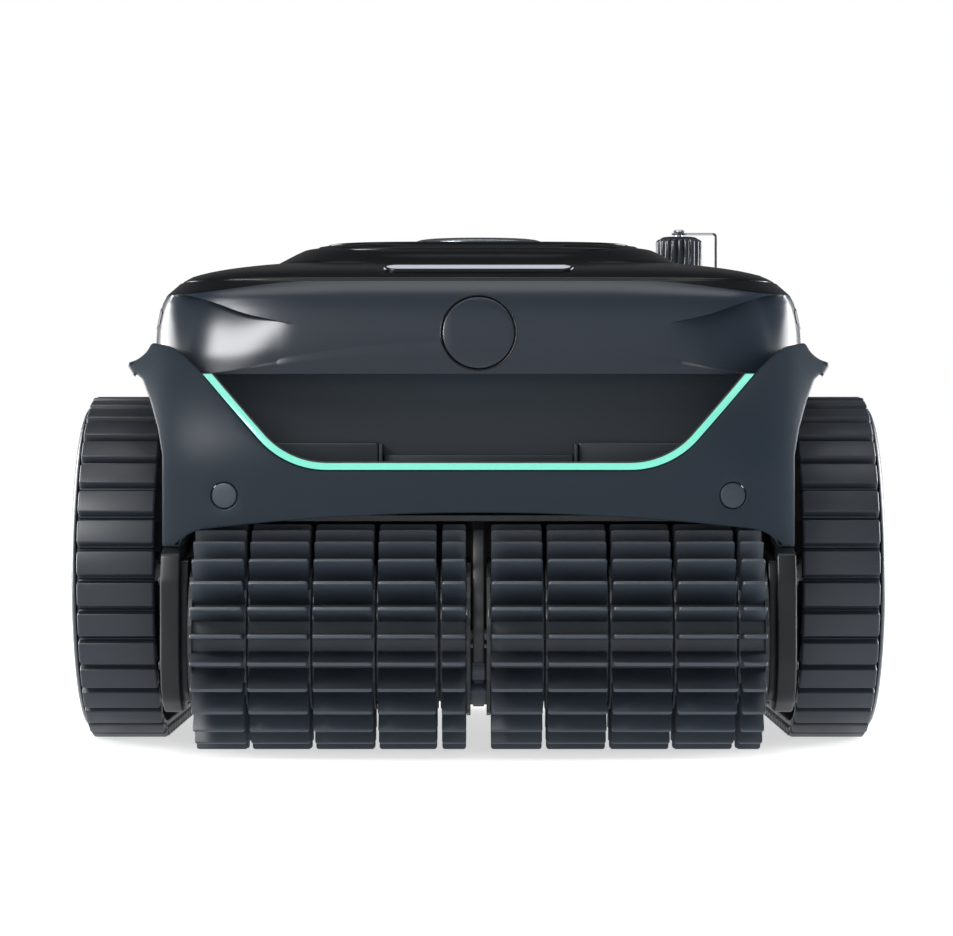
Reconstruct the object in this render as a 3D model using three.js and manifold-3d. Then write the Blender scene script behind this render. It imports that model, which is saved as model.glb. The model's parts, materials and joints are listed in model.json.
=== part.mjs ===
// A cordless pool-cleaning robot on two rubber tracks, with two finned brush rollers under its front bumper.
// Millimetres. +Z is up, the front is -Y, +X is the side called right.
// The origin is on the ground, under the middle of the robot.
import * as THREE from 'three';
import { mergeVertices } from 'three/addons/utils/BufferGeometryUtils.js';
import Module from 'manifold-3d';

const wasm = await Module();
wasm.setup();

// Driving dimensions.
const GAP = 0.3; // between pieces that touch or run in each other
const WALL = 3; // plastic shells

const TRACK_TIP_R = 94; // over the lugs
const TRACK_ROOT_R = 88.5;
const TRACK_INNER_R = 84.5;
const TRACK_NEAR = 174; // track's inner side, from the middle of the robot
const TRACK_FAR = 212;
const LUG_COUNT = 59;
const LUG_SHARE = 0.7; // of the pitch
const FRONT_WHEEL_Y = -70;
const REAR_WHEEL_Y = 120;
const WHEEL_Z = TRACK_TIP_R;
const WHEEL_SHAFT_R = 8;
const COVER_FAR = 215.5; // outermost face of the track covers

const ROLLER_Y = -165;
const ROLLER_Z = 60;
const BLADE_TIP_R = 59.4;
const BLADE_ROOT_R = 37.5;
const BLADE_COUNT = 26;
const CORE_R = 34;
const BRUSH_BORE_R = 35;
const FLANGE_R = 41.5;
const ROLLER_NEAR = 4.2; // inner end of a roller core
const ROLLER_FAR = 149.6;
const ROLLER_SHAFT_R = 6;
const FRONT_PULLEY_R = 21;
const ROLLER_PULLEY_R = 14; // two thirds of the front pulley, so rollers turn 1.5 times as fast
const PULLEY_NEAR = 154;
const PULLEY_FAR = 160.5;
const BRACKET_NEAR = 150.2;
const BRACKET_FAR = 163.5;

const BODY_Y = 15; // middle of the upper body
const BODY_HALF_WIDTH = 178;
const BODY_HALF_LENGTH = 175;
const BODY_SQUARENESS = 6;
const BODY_RAKE = 0.17; // how far the front leans back for each millimetre of height
const SHELL_BOTTOM_Z = 197;

const BUMPER_HALF_WIDTH = 192;
const BUMPER_REACH = 212.5;
const BUMPER_SQUARENESS = 6;
const BUMPER_LEAN = 0.0085; // how fast its upper part curves back towards the shell
const LEAN_START_Z = 145;
const STRIP_BOTTOM_Z = 149.3;
const STRIP_TOP = new THREE.Vector2(142.5, 198);
const STRIP_SLOPE = THREE.MathUtils.degToRad(48);
const STRIP_BEND_R = 45.8;
const STRIP_WIDTH = 3.8;
const PLUG_X = 131.7;
const PLUG_Z = 134.3;
const PLUG_R = 6.7;
const BUTTON_Z = 218;
const BUTTON_R = 19.3;

const LID_Y = -8;
const LID_HALF_WIDTH = 96;
const LID_HALF_LENGTH = 77;
const LID_SQUARENESS = 4;
const LID_HINGE_Y = 75;
const LID_HINGE_Z = 270.5;
const BASKET_HALF_WIDTH = 88;
const BASKET_HALF_LENGTH = 72;
const DUCT_Y = -52; // intake duct
const DUCT_HALF_WIDTH = 60.5;
const DUCT_HALF_LENGTH = 12.5;
const PUMP_Y = 118;
const OUTLET_R = 29.6;
const PORT_X = 118.5; // charging port
const PORT_Y = 60;
const CAP_TOP_Z = 285.1;
const TETHER_X = 141;

const SLATE = { color: 0x3a424b, roughness: 0.38, metalness: 0 };
const BLACK_GLOSS = { color: 0x1c1f24, roughness: 0.18, metalness: 0 };
const DARK = { color: 0x20252b, roughness: 0.55, metalness: 0 };
const RUBBER = { color: 0x2f363e, roughness: 0.8, metalness: 0 };
const STEEL = { color: 0xa9adb1, roughness: 0.3, metalness: 1 };
const SILVER = { color: 0x9aa3a8, roughness: 0.35, metalness: 0.4 };
const TEAL = { color: 0x7ff5d2, roughness: 0.3, metalness: 0, emissive: 0x2f8f78 };
const LENS = { color: 0xd9dcf0, roughness: 0.2, metalness: 0 };
const MOTOR = { color: 0x5d646b, roughness: 0.5, metalness: 0.6 };

const robot = new THREE.Group();

function addPiece(name, finish, geometry, x = 0, y = 0, z = 0) {
  const mesh = new THREE.Mesh(geometry, new THREE.MeshStandardMaterial(finish));
  mesh.name = name;
  mesh.position.set(x, y, z);
  robot.add(mesh);
}

// Closed triangle mesh to solid, for cutting and joining.
function solid(geometry) {
  const bare = geometry.clone();
  bare.deleteAttribute('normal');
  bare.deleteAttribute('uv');
  const merged = mergeVertices(bare);
  const corners = merged.index.array;
  const triangles = [];
  for (let i = 0; i < corners.length; i += 3) {
    const [a, b, c] = corners.slice(i, i + 3);
    if (a !== b && b !== c && c !== a) {
      triangles.push(a, b, c);
    }
  }
  return new wasm.Manifold(new wasm.Mesh({
    numProp: 3,
    vertProperties: merged.attributes.position.array,
    triVerts: new Uint32Array(triangles),
  }));
}

function surface(body) {
  const { vertProperties, triVerts } = body.getMesh();
  const geometry = new THREE.BufferGeometry();
  geometry.setAttribute('position', new THREE.BufferAttribute(vertProperties, 3));
  geometry.setIndex(new THREE.BufferAttribute(triVerts, 1));
  return geometry;
}

const points = (pairs) => pairs.map(([a, b]) => new THREE.Vector2(a, b));
const outline = (pairs) => new THREE.Shape(points(pairs));
const rectangle = (a0, b0, a1, b1) => outline([[a0, b0], [a1, b0], [a1, b1], [a0, b1]]);
const circle = (a, b, radius) => new THREE.Shape().absarc(a, b, radius, 0, 2 * Math.PI);

// Outline round two circles, with straight tangents between them.
function capsule(a1, b1, r1, a2, b2, r2) {
  const along = Math.atan2(b2 - b1, a2 - a1);
  const open = Math.acos((r1 - r2) / Math.hypot(a2 - a1, b2 - b1));
  const shape = new THREE.Shape();
  shape.absarc(a1, b1, r1, along + open, along - open + 2 * Math.PI);
  shape.absarc(a2, b2, r2, along - open, along + open);
  return shape;
}

const AXES = {
  x: [new THREE.Vector3(0, 1, 0), new THREE.Vector3(0, 0, 1), new THREE.Vector3(1, 0, 0)],
  y: [new THREE.Vector3(0, 0, 1), new THREE.Vector3(1, 0, 0), new THREE.Vector3(0, 1, 0)],
  z: [new THREE.Vector3(1, 0, 0), new THREE.Vector3(0, 1, 0), new THREE.Vector3(0, 0, 1)],
};

// Prism along an axis. Its outline is drawn in (y, z) along x, in (z, x) along y and in (x, y) along z.
function prism(axis, shape, from, to, curveSegments = 16) {
  const geometry = new THREE.ExtrudeGeometry(shape, {
    depth: to - from,
    bevelEnabled: false,
    curveSegments,
  });
  geometry.translate(0, 0, from);
  return geometry.applyMatrix4(new THREE.Matrix4().makeBasis(...AXES[axis]));
}

// Prism across one side of the robot, between two distances from its middle.
function sidePrism(shape, side, near, far, curveSegments = 16) {
  const [low, high] = side > 0 ? [near, far] : [-far, -near];
  return prism('x', shape, low, high, curveSegments);
}

// Turned about X, on one side of the robot, from (radius, distance from the middle) pairs.
function sideTurned(pairs, side, segments = 18) {
  const profile = points(pairs.map(([radius, x]) => [radius, side * x]));
  if (side < 0) {
    profile.reverse();
  }
  return new THREE.LatheGeometry(profile, segments).rotateZ(-Math.PI / 2);
}

// Turned about Z, from (radius, z) pairs.
function turned(pairs, segments = 18) {
  return new THREE.LatheGeometry(points(pairs), segments).rotateX(Math.PI / 2);
}

// Swept round a rounded rectangle, from (half width, z) pairs. The front half leans back by rake.
function rounded(pairs, halfWidth, halfLength, squareness, segments, rake = 0) {
  const geometry = turned(pairs, segments);
  const position = geometry.attributes.position;
  const power = 2 / squareness;
  const stretch = (part) => (Math.abs(part) < 1e-6 ? 0 : Math.sign(part) * Math.abs(part) ** power);
  for (let i = 0; i < position.count; i += 1) {
    const radius = Math.hypot(position.getX(i), position.getY(i));
    if (radius > 0) {
      const across = radius * stretch(position.getX(i) / radius);
      const along = (radius * halfLength / halfWidth) * stretch(position.getY(i) / radius);
      const lean = along < 0 ? rake * (position.getZ(i) - SHELL_BOTTOM_Z) * (-along / halfLength) : 0;
      position.setX(i, across);
      position.setY(i, along + lean);
    }
  }
  return geometry;
}

const closed = (pairs) => [...pairs, pairs[0]];

// ---- Tracks and what is inside them ----

// A point on the loop round both wheels, from the distance along it at the lug tips.
function trackPoint(distance, radius) {
  const run = REAR_WHEEL_Y - FRONT_WHEEL_Y;
  const bend = Math.PI * TRACK_TIP_R;
  const s = THREE.MathUtils.euclideanModulo(distance, 2 * (run + bend));
  if (s < run) {
    return [FRONT_WHEEL_Y + s, WHEEL_Z - radius];
  }
  if (s < run + bend) {
    const angle = (s - run) / TRACK_TIP_R;
    return [REAR_WHEEL_Y + radius * Math.sin(angle), WHEEL_Z - radius * Math.cos(angle)];
  }
  if (s < 2 * run + bend) {
    return [REAR_WHEEL_Y - (s - run - bend), WHEEL_Z + radius];
  }
  const angle = (s - 2 * run - bend) / TRACK_TIP_R;
  return [FRONT_WHEEL_Y - radius * Math.sin(angle), WHEEL_Z + radius * Math.cos(angle)];
}

function trackShape() {
  const run = REAR_WHEEL_Y - FRONT_WHEEL_Y;
  const pitch = 2 * (run + Math.PI * TRACK_TIP_R) / LUG_COUNT;
  const half = LUG_SHARE * pitch / 2;
  const pairs = [];
  for (let lug = 0; lug < LUG_COUNT; lug += 1) {
    const middle = run / 2 + lug * pitch;
    pairs.push(trackPoint(middle - half, TRACK_ROOT_R), trackPoint(middle - half, TRACK_TIP_R));
    pairs.push(trackPoint(middle + half, TRACK_TIP_R), trackPoint(middle + half, TRACK_ROOT_R));
  }
  const shape = outline(pairs);
  shape.holes.push(capsule(FRONT_WHEEL_Y, WHEEL_Z, TRACK_INNER_R, REAR_WHEEL_Y, WHEEL_Z, TRACK_INNER_R));
  return shape;
}

function trackWheel(side) {
  const rim = TRACK_INNER_R - 1.3;
  return sideTurned(closed([
    [rim, 177], [rim, 209], [rim - 6, 209], [rim - 6, 196],
    [WHEEL_SHAFT_R + GAP, 196], [WHEEL_SHAFT_R + GAP, 190], [rim - 6, 190], [rim - 6, 177],
  ]), side, 20);
}

function trackCover(side) {
  const edge = 4;
  const bulge = 1.2;
  const shape = capsule(FRONT_WHEEL_Y, WHEEL_Z, TRACK_ROOT_R, REAR_WHEEL_Y, WHEEL_Z, TRACK_ROOT_R);
  const geometry = new THREE.ExtrudeGeometry(shape, {
    depth: 0.6,
    bevelThickness: bulge,
    bevelSize: edge,
    bevelOffset: -edge,
    bevelSegments: 1,
    curveSegments: 12,
  });
  geometry.translate(0, 0, side > 0 ? COVER_FAR - 0.6 - bulge : -COVER_FAR + bulge);
  return geometry.applyMatrix4(new THREE.Matrix4().makeBasis(...AXES.x));
}

function driveShaft(side) {
  return sideTurned([[0, 140.4], [WHEEL_SHAFT_R, 140.4], [WHEEL_SHAFT_R, 212], [0, 212]], side, 16);
}

// The front wheels' shafts carry the pulleys that drive the rollers.
function frontShaft(side) {
  return sideTurned([
    [0, 140.4], [WHEEL_SHAFT_R, 140.4], [WHEEL_SHAFT_R, PULLEY_NEAR], [FRONT_PULLEY_R, PULLEY_NEAR],
    [FRONT_PULLEY_R, PULLEY_FAR], [WHEEL_SHAFT_R, PULLEY_FAR], [WHEEL_SHAFT_R, 212], [0, 212],
  ], side);
}

function driveMotor(side) {
  return sideTurned([
    [0, 62], [24, 62], [24, 118], [28, 118], [28, 136], [12, 136], [12, 140], [0, 140],
  ], side, 14);
}

// ---- Rollers ----

function rollerCore(side) {
  const bore = ROLLER_SHAFT_R + GAP;
  const flange = 2;
  return sideTurned(closed([
    [bore, ROLLER_NEAR], [FLANGE_R, ROLLER_NEAR],
    [FLANGE_R, ROLLER_NEAR + flange], [CORE_R, ROLLER_NEAR + flange],
    [CORE_R, ROLLER_FAR - flange], [FLANGE_R, ROLLER_FAR - flange],
    [FLANGE_R, ROLLER_FAR], [bore, ROLLER_FAR],
    [bore, ROLLER_FAR - WALL], [CORE_R - WALL, ROLLER_FAR - WALL],
    [CORE_R - WALL, ROLLER_NEAR + WALL], [bore, ROLLER_NEAR + WALL],
  ]), side);
}

// Finned sleeve, with one blade pointing straight to the front.
function brushShape() {
  const tipHalf = 1.2;
  const rootHalf = 2.2;
  const pairs = [];
  for (let blade = 0; blade < BLADE_COUNT; blade += 1) {
    const angle = Math.PI + (2 * Math.PI * blade) / BLADE_COUNT;
    const corner = (radius, offset) => [
      ROLLER_Y + radius * Math.cos(angle) - offset * Math.sin(angle),
      ROLLER_Z + radius * Math.sin(angle) + offset * Math.cos(angle),
    ];
    pairs.push(corner(BLADE_ROOT_R, -rootHalf), corner(BLADE_TIP_R, -tipHalf));
    pairs.push(corner(BLADE_TIP_R, tipHalf), corner(BLADE_ROOT_R, rootHalf));
  }
  const shape = outline(pairs);
  shape.holes.push(circle(ROLLER_Y, ROLLER_Z, BRUSH_BORE_R));
  return shape;
}

function rollerShaft(side) {
  return sideTurned([
    [0, 0.4], [ROLLER_SHAFT_R, 0.4], [ROLLER_SHAFT_R, PULLEY_NEAR], [ROLLER_PULLEY_R, PULLEY_NEAR],
    [ROLLER_PULLEY_R, PULLEY_FAR], [0, PULLEY_FAR],
  ], side, 14);
}

function bracketShape(inset) {
  return capsule(ROLLER_Y, ROLLER_Z, 40 - inset, FRONT_WHEEL_Y, WHEEL_Z, 30 - inset);
}

// Flat case beside a roller, open towards the track. The belt runs inside it.
function sideBracket(side) {
  const hollow = solid(sidePrism(bracketShape(WALL), side, BRACKET_NEAR + 2.3, BRACKET_FAR + 1, 9));
  const holeNear = BRACKET_NEAR - 1;
  const rollerHole = solid(sidePrism(circle(ROLLER_Y, ROLLER_Z, 7), side, holeNear, BRACKET_FAR, 12));
  const shaftHole = solid(sidePrism(circle(FRONT_WHEEL_Y, WHEEL_Z, 9), side, holeNear, BRACKET_FAR, 12));
  const blank = solid(sidePrism(bracketShape(0), side, BRACKET_NEAR, BRACKET_FAR, 9));
  return surface(blank.subtract(hollow).subtract(rollerHole).subtract(shaftHole));
}

function driveBelt(side) {
  const thickness = 1.8;
  const slack = 0.8;
  const loop = (grow) => capsule(
    ROLLER_Y, ROLLER_Z, ROLLER_PULLEY_R + grow, FRONT_WHEEL_Y, WHEEL_Z, FRONT_PULLEY_R + grow,
  );
  const shape = loop(slack + thickness);
  shape.holes.push(loop(slack));
  return sidePrism(shape, side, PULLEY_NEAR + 0.5, PULLEY_FAR - 0.5, 8);
}

function centreBracket() {
  const shape = capsule(ROLLER_Y, ROLLER_Z, FRONT_PULLEY_R + 16, ROLLER_Y, 107, 15.5);
  shape.holes.push(circle(ROLLER_Y, ROLLER_Z, ROLLER_SHAFT_R + 0.8));
  return prism('x', shape, -3, 3, 10);
}

// Curved roof over both rollers.
function rollerHood() {
  const from = THREE.MathUtils.degToRad(20);
  const to = THREE.MathUtils.degToRad(105);
  const shape = new THREE.Shape();
  shape.absarc(ROLLER_Y, ROLLER_Z, 66, from, to);
  shape.absarc(ROLLER_Y, ROLLER_Z, 63, to, from, true);
  return surface(solid(prism('x', shape, -148, 148, 10)).intersect(bumperSlab(WALL + 0.5, 150)));
}

// ---- Front bumper ----

// How far forward the bumper's face is, at a place on its front view.
function bumperFace(x, z) {
  const across = Math.abs(x) / BUMPER_HALF_WIDTH;
  const plan = (1 - across ** BUMPER_SQUARENESS) ** (1 / BUMPER_SQUARENESS);
  return BODY_Y - BUMPER_REACH * plan + BUMPER_LEAN * Math.max(0, z - LEAN_START_Z) ** 2;
}

// Sheet behind the bumper's face, from one depth to another.
function bumperSlab(from, to, across = 24) {
  const bottom = 70;
  const top = 225;
  const geometry = new THREE.BoxGeometry(2 * (BUMPER_HALF_WIDTH - 4), to - from, top - bottom, across, 1, 4);
  geometry.translate(0, (from + to) / 2, (bottom + top) / 2);
  const position = geometry.attributes.position;
  for (let i = 0; i < position.count; i += 1) {
    position.setY(i, position.getY(i) + bumperFace(position.getX(i), position.getZ(i)));
  }
  return solid(geometry);
}

// U-shaped line of the light strip, moved outwards by offset, as (z, x) pairs from left to right.
function stripLine(offset) {
  const bend = STRIP_BEND_R + offset;
  const bendZ = STRIP_BOTTOM_Z + STRIP_BEND_R;
  const corner = (STRIP_TOP.y - STRIP_BOTTOM_Z) / Math.tan(STRIP_SLOPE);
  const bendX = STRIP_TOP.x - corner - STRIP_BEND_R * Math.tan(STRIP_SLOPE / 2);
  const half = [];
  const steps = 6;
  for (let step = 0; step <= steps; step += 1) {
    const angle = STRIP_SLOPE * step / steps;
    half.push([bendZ - bend * Math.cos(angle), bendX + bend * Math.sin(angle)]);
  }
  half.push([STRIP_TOP.y, STRIP_TOP.x + offset / Math.sin(STRIP_SLOPE)]);
  const mirrored = half.map(([z, x]) => [z, -x]).reverse();
  return [...mirrored, ...half];
}

// Front view of the bumper, as (z, x) pairs: arch below, legs, fenders and the edge of the recess.
function bumperShape() {
  const archZ = 125.4;
  const archX = 146;
  const arch = [];
  for (let step = 0; step <= 6; step += 1) {
    const x = archX * step / 6;
    arch.push([archZ - 9 * (x / archX) ** 2, x]);
  }
  const flank = [
    [110, 155.5], [107.5, 156], [107.5, 165], [155, 165], [169.4, 168], [183.7, 173], [195.7, 178.5],
    [200, 184], [203.5, 187], [205.3, 186.4], [207.6, 182], [211, 177.5], [215.7, 174.4],
    [213, 163.5], [209.5, 157.5], [200.5, 147.5],
  ];
  const half = [...arch, ...flank];
  const mirrored = half.slice(1).map(([z, x]) => [z, -x]).reverse();
  const recess = stripLine(STRIP_WIDTH / 2 + GAP).reverse();
  return outline([...mirrored, ...half, ...recess]);
}

function fender(side) {
  const flap = [[195.8, 178.7], [200, 184], [203.5, 187], [205.3, 186.4], [207.6, 182], [210.2, 178.7]];
  return solid(prism('y', outline(flap.map(([z, x]) => [z, side * x])), -180, -70));
}

function frontBumper() {
  const panel = solid(prism('y', bumperShape(), -210, -60)).intersect(bumperSlab(0, WALL));
  const behindFace = bumperSlab(0, 150);
  const plugHole = (x) => solid(prism('y', circle(PLUG_Z, x, PLUG_R + GAP), -210, -100, 12));
  const plugHoles = [-PLUG_X, PLUG_X].map(plugHole);
  return surface(panel
    .add(fender(-1).intersect(behindFace))
    .add(fender(1).intersect(behindFace))
    .subtract(plugHoles[0])
    .subtract(plugHoles[1]));
}

function screwPlug(side) {
  const disc = solid(prism('y', circle(PLUG_Z, side * PLUG_X, PLUG_R), -210, -100, 12));
  return surface(disc.intersect(bumperSlab(0, WALL)));
}

function lightStrip() {
  const band = outline([...stripLine(-STRIP_WIDTH / 2), ...stripLine(STRIP_WIDTH / 2).reverse()]);
  return surface(solid(prism('y', band, -210, -60)).intersect(bumperSlab(-0.6, WALL)));
}

// Tub behind the light strip, open to the front, where a hand lifts the robot.
function recessPanel() {
  const tub = solid(prism('y', rectangle(144.5, -150, 196.6, 150), -190, -120));
  const hollow = solid(prism('y', rectangle(147, -147, 194, 147), -200, -123));
  const lipRoom = solid(prism('y', rectangle(188, -151, 200, 151), -200, -146));
  return surface(tub.subtract(hollow).subtract(lipRoom).intersect(bumperSlab(WALL + 0.5, 100)));
}

// ---- Body shells ----

const chassisHole = (y, z, radius) => solid(prism('x', circle(y, z, radius), -160, 160, 12));

function bottomChassis() {
  const tray = solid(rounded([
    [0, 22], [135, 22], [147, 36], [147, 196.5], [144, 196.5], [144, 37], [134, 25], [0, 25],
  ], 147, 143, 6, 32).translate(0, 45, 0));
  const ledge = solid(rounded(closed([[145, 190.5], [172, 190.5], [172, 196.5], [145, 196.5]]),
    172, 169, BODY_SQUARENESS, 32).translate(0, BODY_Y, 0));
  const frontCut = solid(prism('z', rectangle(-200, -200, 200, -119), 180, 210));
  const mouth = solid(prism('z', rectangle(
    -DUCT_HALF_WIDTH, DUCT_Y - DUCT_HALF_LENGTH, DUCT_HALF_WIDTH, DUCT_Y + DUCT_HALF_LENGTH,
  ), 10, 40));
  return surface(tray.add(ledge).subtract(frontCut).subtract(mouth)
    .subtract(chassisHole(FRONT_WHEEL_Y, WHEEL_Z, WHEEL_SHAFT_R + 1))
    .subtract(chassisHole(REAR_WHEEL_Y, WHEEL_Z, WHEEL_SHAFT_R + 1)));
}

function bodyRing() {
  return solid(rounded(closed([
    [176, SHELL_BOTTOM_Z], [178, 212], [177, 226], [174, 239], [165.6, 249],
    [163.4, 246.9], [171.1, 237.6], [174, 225], [175, 212], [173, SHELL_BOTTOM_Z],
  ]), BODY_HALF_WIDTH, BODY_HALF_LENGTH, BODY_SQUARENESS, 32, BODY_RAKE).translate(0, BODY_Y, 0));
}

const buttonBore = (radius) => solid(prism('y', circle(BUTTON_Z, 0, radius), -175, -130, 24));

const upperShell = () => surface(bodyRing().subtract(buttonBore(BUTTON_R + 0.4)));

const powerButton = () => surface(bodyRing().intersect(buttonBore(BUTTON_R)));

function buttonSpring() {
  const turns = 4;
  const perTurn = 6;
  const radius = 4.5;
  const from = new THREE.Vector3(0, -152.2, BUTTON_Z);
  const steps = turns * perTurn;
  const route = Array.from({ length: steps + 1 }, (_, step) => {
    const angle = 2 * Math.PI * step / perTurn;
    const [x, z] = [radius * Math.cos(angle), radius * Math.sin(angle)];
    return new THREE.Vector3(x, 1 + 5 * step / steps, z).add(from);
  });
  const wire = new THREE.Shape().absarc(0, 0, 0.5, 0, 2 * Math.PI);
  return new THREE.ExtrudeGeometry(wire, {
    steps,
    extrudePath: new THREE.CatmullRomCurve3(route),
    curveSegments: 4,
    bevelEnabled: false,
  });
}

function deck(lift) {
  return solid(rounded([
    [0, 260 + lift], [109, 258.8 + lift], [150, 252.3 + lift], [159, 249.6 + lift],
    [164.8, 249.6 + lift], [161.5, 252.3 + lift], [135, 258.9 + lift], [110, 261.8 + lift], [0, 263 + lift],
  ], BODY_HALF_WIDTH, BODY_HALF_LENGTH, BODY_SQUARENESS, 32, BODY_RAKE).translate(0, BODY_Y, 0));
}

const lidRing = (pairs, segments = 24) => (
  solid(rounded(pairs, LID_HALF_WIDTH, LID_HALF_LENGTH, LID_SQUARENESS, segments).translate(0, LID_Y, 0))
);

const lensShape = (radius) => capsule(-44, -124, radius, 44, -124, radius);

const hingeEar = (near, far) => solid(prism('x', capsule(
  LID_HINGE_Y, 261, 4, LID_HINGE_Y, LID_HINGE_Z, 4,
), near, far, 6));

const hingeBore = (radius) => solid(prism('x', circle(LID_HINGE_Y, LID_HINGE_Z, radius), -60, 60, 8));

function topCover() {
  const mouth = lidRing([[0, 240], [92, 240], [92, 280], [0, 280]]);
  const ridge = lidRing(closed([[93, 260], [108, 260], [97, 267], [92.5, 267]]));
  return surface(deck(0)
    .subtract(mouth)
    .add(ridge)
    .subtract(solid(prism('z', circle(0, PUMP_Y, OUTLET_R + 0.6), 240, 280, 20)))
    .subtract(solid(prism('z', circle(PORT_X, PORT_Y, 11.8), 240, 280, 12)))
    .subtract(solid(prism('z', lensShape(6.2 + GAP), 240, 280, 6)))
    .add(hingeEar(21, 29))
    .add(hingeEar(-29, -21))
    .subtract(hingeBore(2.3)));
}

const statusLens = () => surface(solid(prism('z', lensShape(6.2), 240, 280, 6)).intersect(deck(0.6)));

function filterLid() {
  const shell = lidRing([
    [0, 273.8], [35, 272.8], [70, 270.3], [87, 269.5], [87, 267.8], [96, 267.8],
    [95, 269.3], [91.3, 271.2], [70, 273.5], [35, 276], [0, 277],
  ]);
  const barrel = solid(prism('x', capsule(
    LID_HINGE_Y, LID_HINGE_Z, 4, LID_HINGE_Y - 12, LID_HINGE_Z - 0.4, 1.4,
  ), -20, 20, 6));
  return surface(shell.subtract(solid(ovalPlate(275, GAP))).add(barrel).subtract(hingeBore(2.3)));
}

// Oval plate set into the top of the lid.
function ovalPlate(bottom, grow) {
  const across = 36.8 + grow;
  return rounded([
    [0, bottom], [across, bottom], [across, 277.6], [0.8 * across, 278.7], [0, 279.2],
  ], across, 26, 2, 20).translate(0, LID_Y, 0);
}

function filterBasket() {
  const cup = rounded([
    [0, 150], [84, 150], [88, 158], [88, 254.5], [91, 254.5], [91, 257.5], [85.5, 257.5], [85.5, 159],
    [82.5, 152.5], [0, 152.5],
  ], BASKET_HALF_WIDTH, BASKET_HALF_LENGTH, 5, 24).translate(0, LID_Y, 0);
  const inlet = rectangle(
    -DUCT_HALF_WIDTH, DUCT_Y - DUCT_HALF_LENGTH, DUCT_HALF_WIDTH, DUCT_Y + DUCT_HALF_LENGTH,
  );
  return surface(solid(cup).subtract(solid(prism('z', inlet, 140, 160))));
}

function intakeDuct() {
  const wall = 2.5;
  const shape = rectangle(
    -DUCT_HALF_WIDTH - wall, DUCT_Y - DUCT_HALF_LENGTH - wall,
    DUCT_HALF_WIDTH + wall, DUCT_Y + DUCT_HALF_LENGTH + wall,
  );
  shape.holes.push(rectangle(
    -DUCT_HALF_WIDTH, DUCT_Y - DUCT_HALF_LENGTH, DUCT_HALF_WIDTH, DUCT_Y + DUCT_HALF_LENGTH,
  ));
  return prism('z', shape, 25.3, 149.7);
}

// One-way flap over the duct, with its hinge barrel along its rear edge.
function intakeFlap() {
  const hingeY = DUCT_Y + DUCT_HALF_LENGTH + 2.5;
  const frontY = DUCT_Y - DUCT_HALF_LENGTH - 2.5;
  const shape = new THREE.Shape();
  shape.moveTo(frontY, 153);
  shape.absarc(hingeY, 155, 2, -Math.PI / 2, Math.PI / 2);
  shape.lineTo(hingeY - 2, 155);
  shape.lineTo(frontY, 155);
  return prism('x', shape, -63, 63, 8);
}

// ---- Pump, power and fittings ----

function impeller() {
  const hubProfile = [[0, 206], [4, 206], [4, 220], [26.5, 220], [26.5, 222], [9, 222], [9, 240], [0, 240]];
  const hub = solid(turned(hubProfile, 16));
  const blades = [0, 1, 2, 3, 4].map((index) => {
    const blade = new THREE.BoxGeometry(19, 2.4, 14).translate(16, 0, 228.5);
    return solid(blade.rotateZ(2 * Math.PI * index / 5));
  });
  return surface(blades.reduce((body, blade) => body.add(blade), hub)).translate(0, PUMP_Y, 0);
}

function outletGrille() {
  const spacing = 10;
  const shape = circle(0, PUMP_Y, OUTLET_R);
  for (let slot = -2; slot <= 2; slot += 1) {
    const half = Math.sqrt((OUTLET_R - 5) ** 2 - (spacing * slot) ** 2);
    shape.holes.push(rectangle(-half, PUMP_Y + spacing * slot - 2.5, half, PUMP_Y + spacing * slot + 2.5));
  }
  return prism('z', shape, 258.4, 262, 20);
}

function chargingCap() {
  const flutes = 20;
  const pairs = Array.from({ length: 2 * flutes }, (_, corner) => {
    const angle = Math.PI * corner / flutes;
    const radius = corner % 2 ? 14.3 : 13.2;
    return [radius * Math.cos(angle), radius * Math.sin(angle)];
  });
  const body = solid(prism('z', outline(pairs), 265.2, CAP_TOP_Z));
  return surface(body.subtract(solid(prism('z', circle(0, 0, 12), 260, 282, 12))));
}

// Strap from the cap's rivet, bent down to the deck.
function capTether() {
  const half = 1.5;
  const thickness = 1.2;
  const top = CAP_TOP_Z + 2.3;
  const foot = 259.5;
  const bend = 2.4;
  const shape = new THREE.Shape();
  shape.moveTo(foot, TETHER_X - thickness);
  shape.absarc(top - bend, TETHER_X - bend, bend - thickness, Math.PI / 2, 0, true);
  shape.lineTo(top - thickness, PORT_X + 3.4);
  shape.lineTo(top, PORT_X + 3.4);
  shape.absarc(top - bend, TETHER_X - bend, bend, 0, Math.PI / 2);
  shape.lineTo(foot, TETHER_X);
  const strap = solid(prism('y', shape, PORT_Y - half, PORT_Y + half, 5));
  const eye = circle(PORT_X, PORT_Y, 4.5);
  eye.holes.push(circle(PORT_X, PORT_Y, 2.4));
  return surface(strap.add(solid(prism('z', eye, top - thickness, top, 8))));
}

function carryHandle() {
  const shape = outline([
    [-58, 190.8], [-46, 190.8], [-43, 214.4], [43, 214.4], [46, 190.8], [58, 190.8],
    [58, 216], [50, 224.4], [-50, 224.4], [-58, 216],
  ]);
  return prism('z', shape, 214, 232);
}

function roundedBox(width, length, from, to) {
  return rounded([[0, from], [width / 2, from], [width / 2, to], [0, to]], width / 2, length / 2, 8, 16);
}

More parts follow.
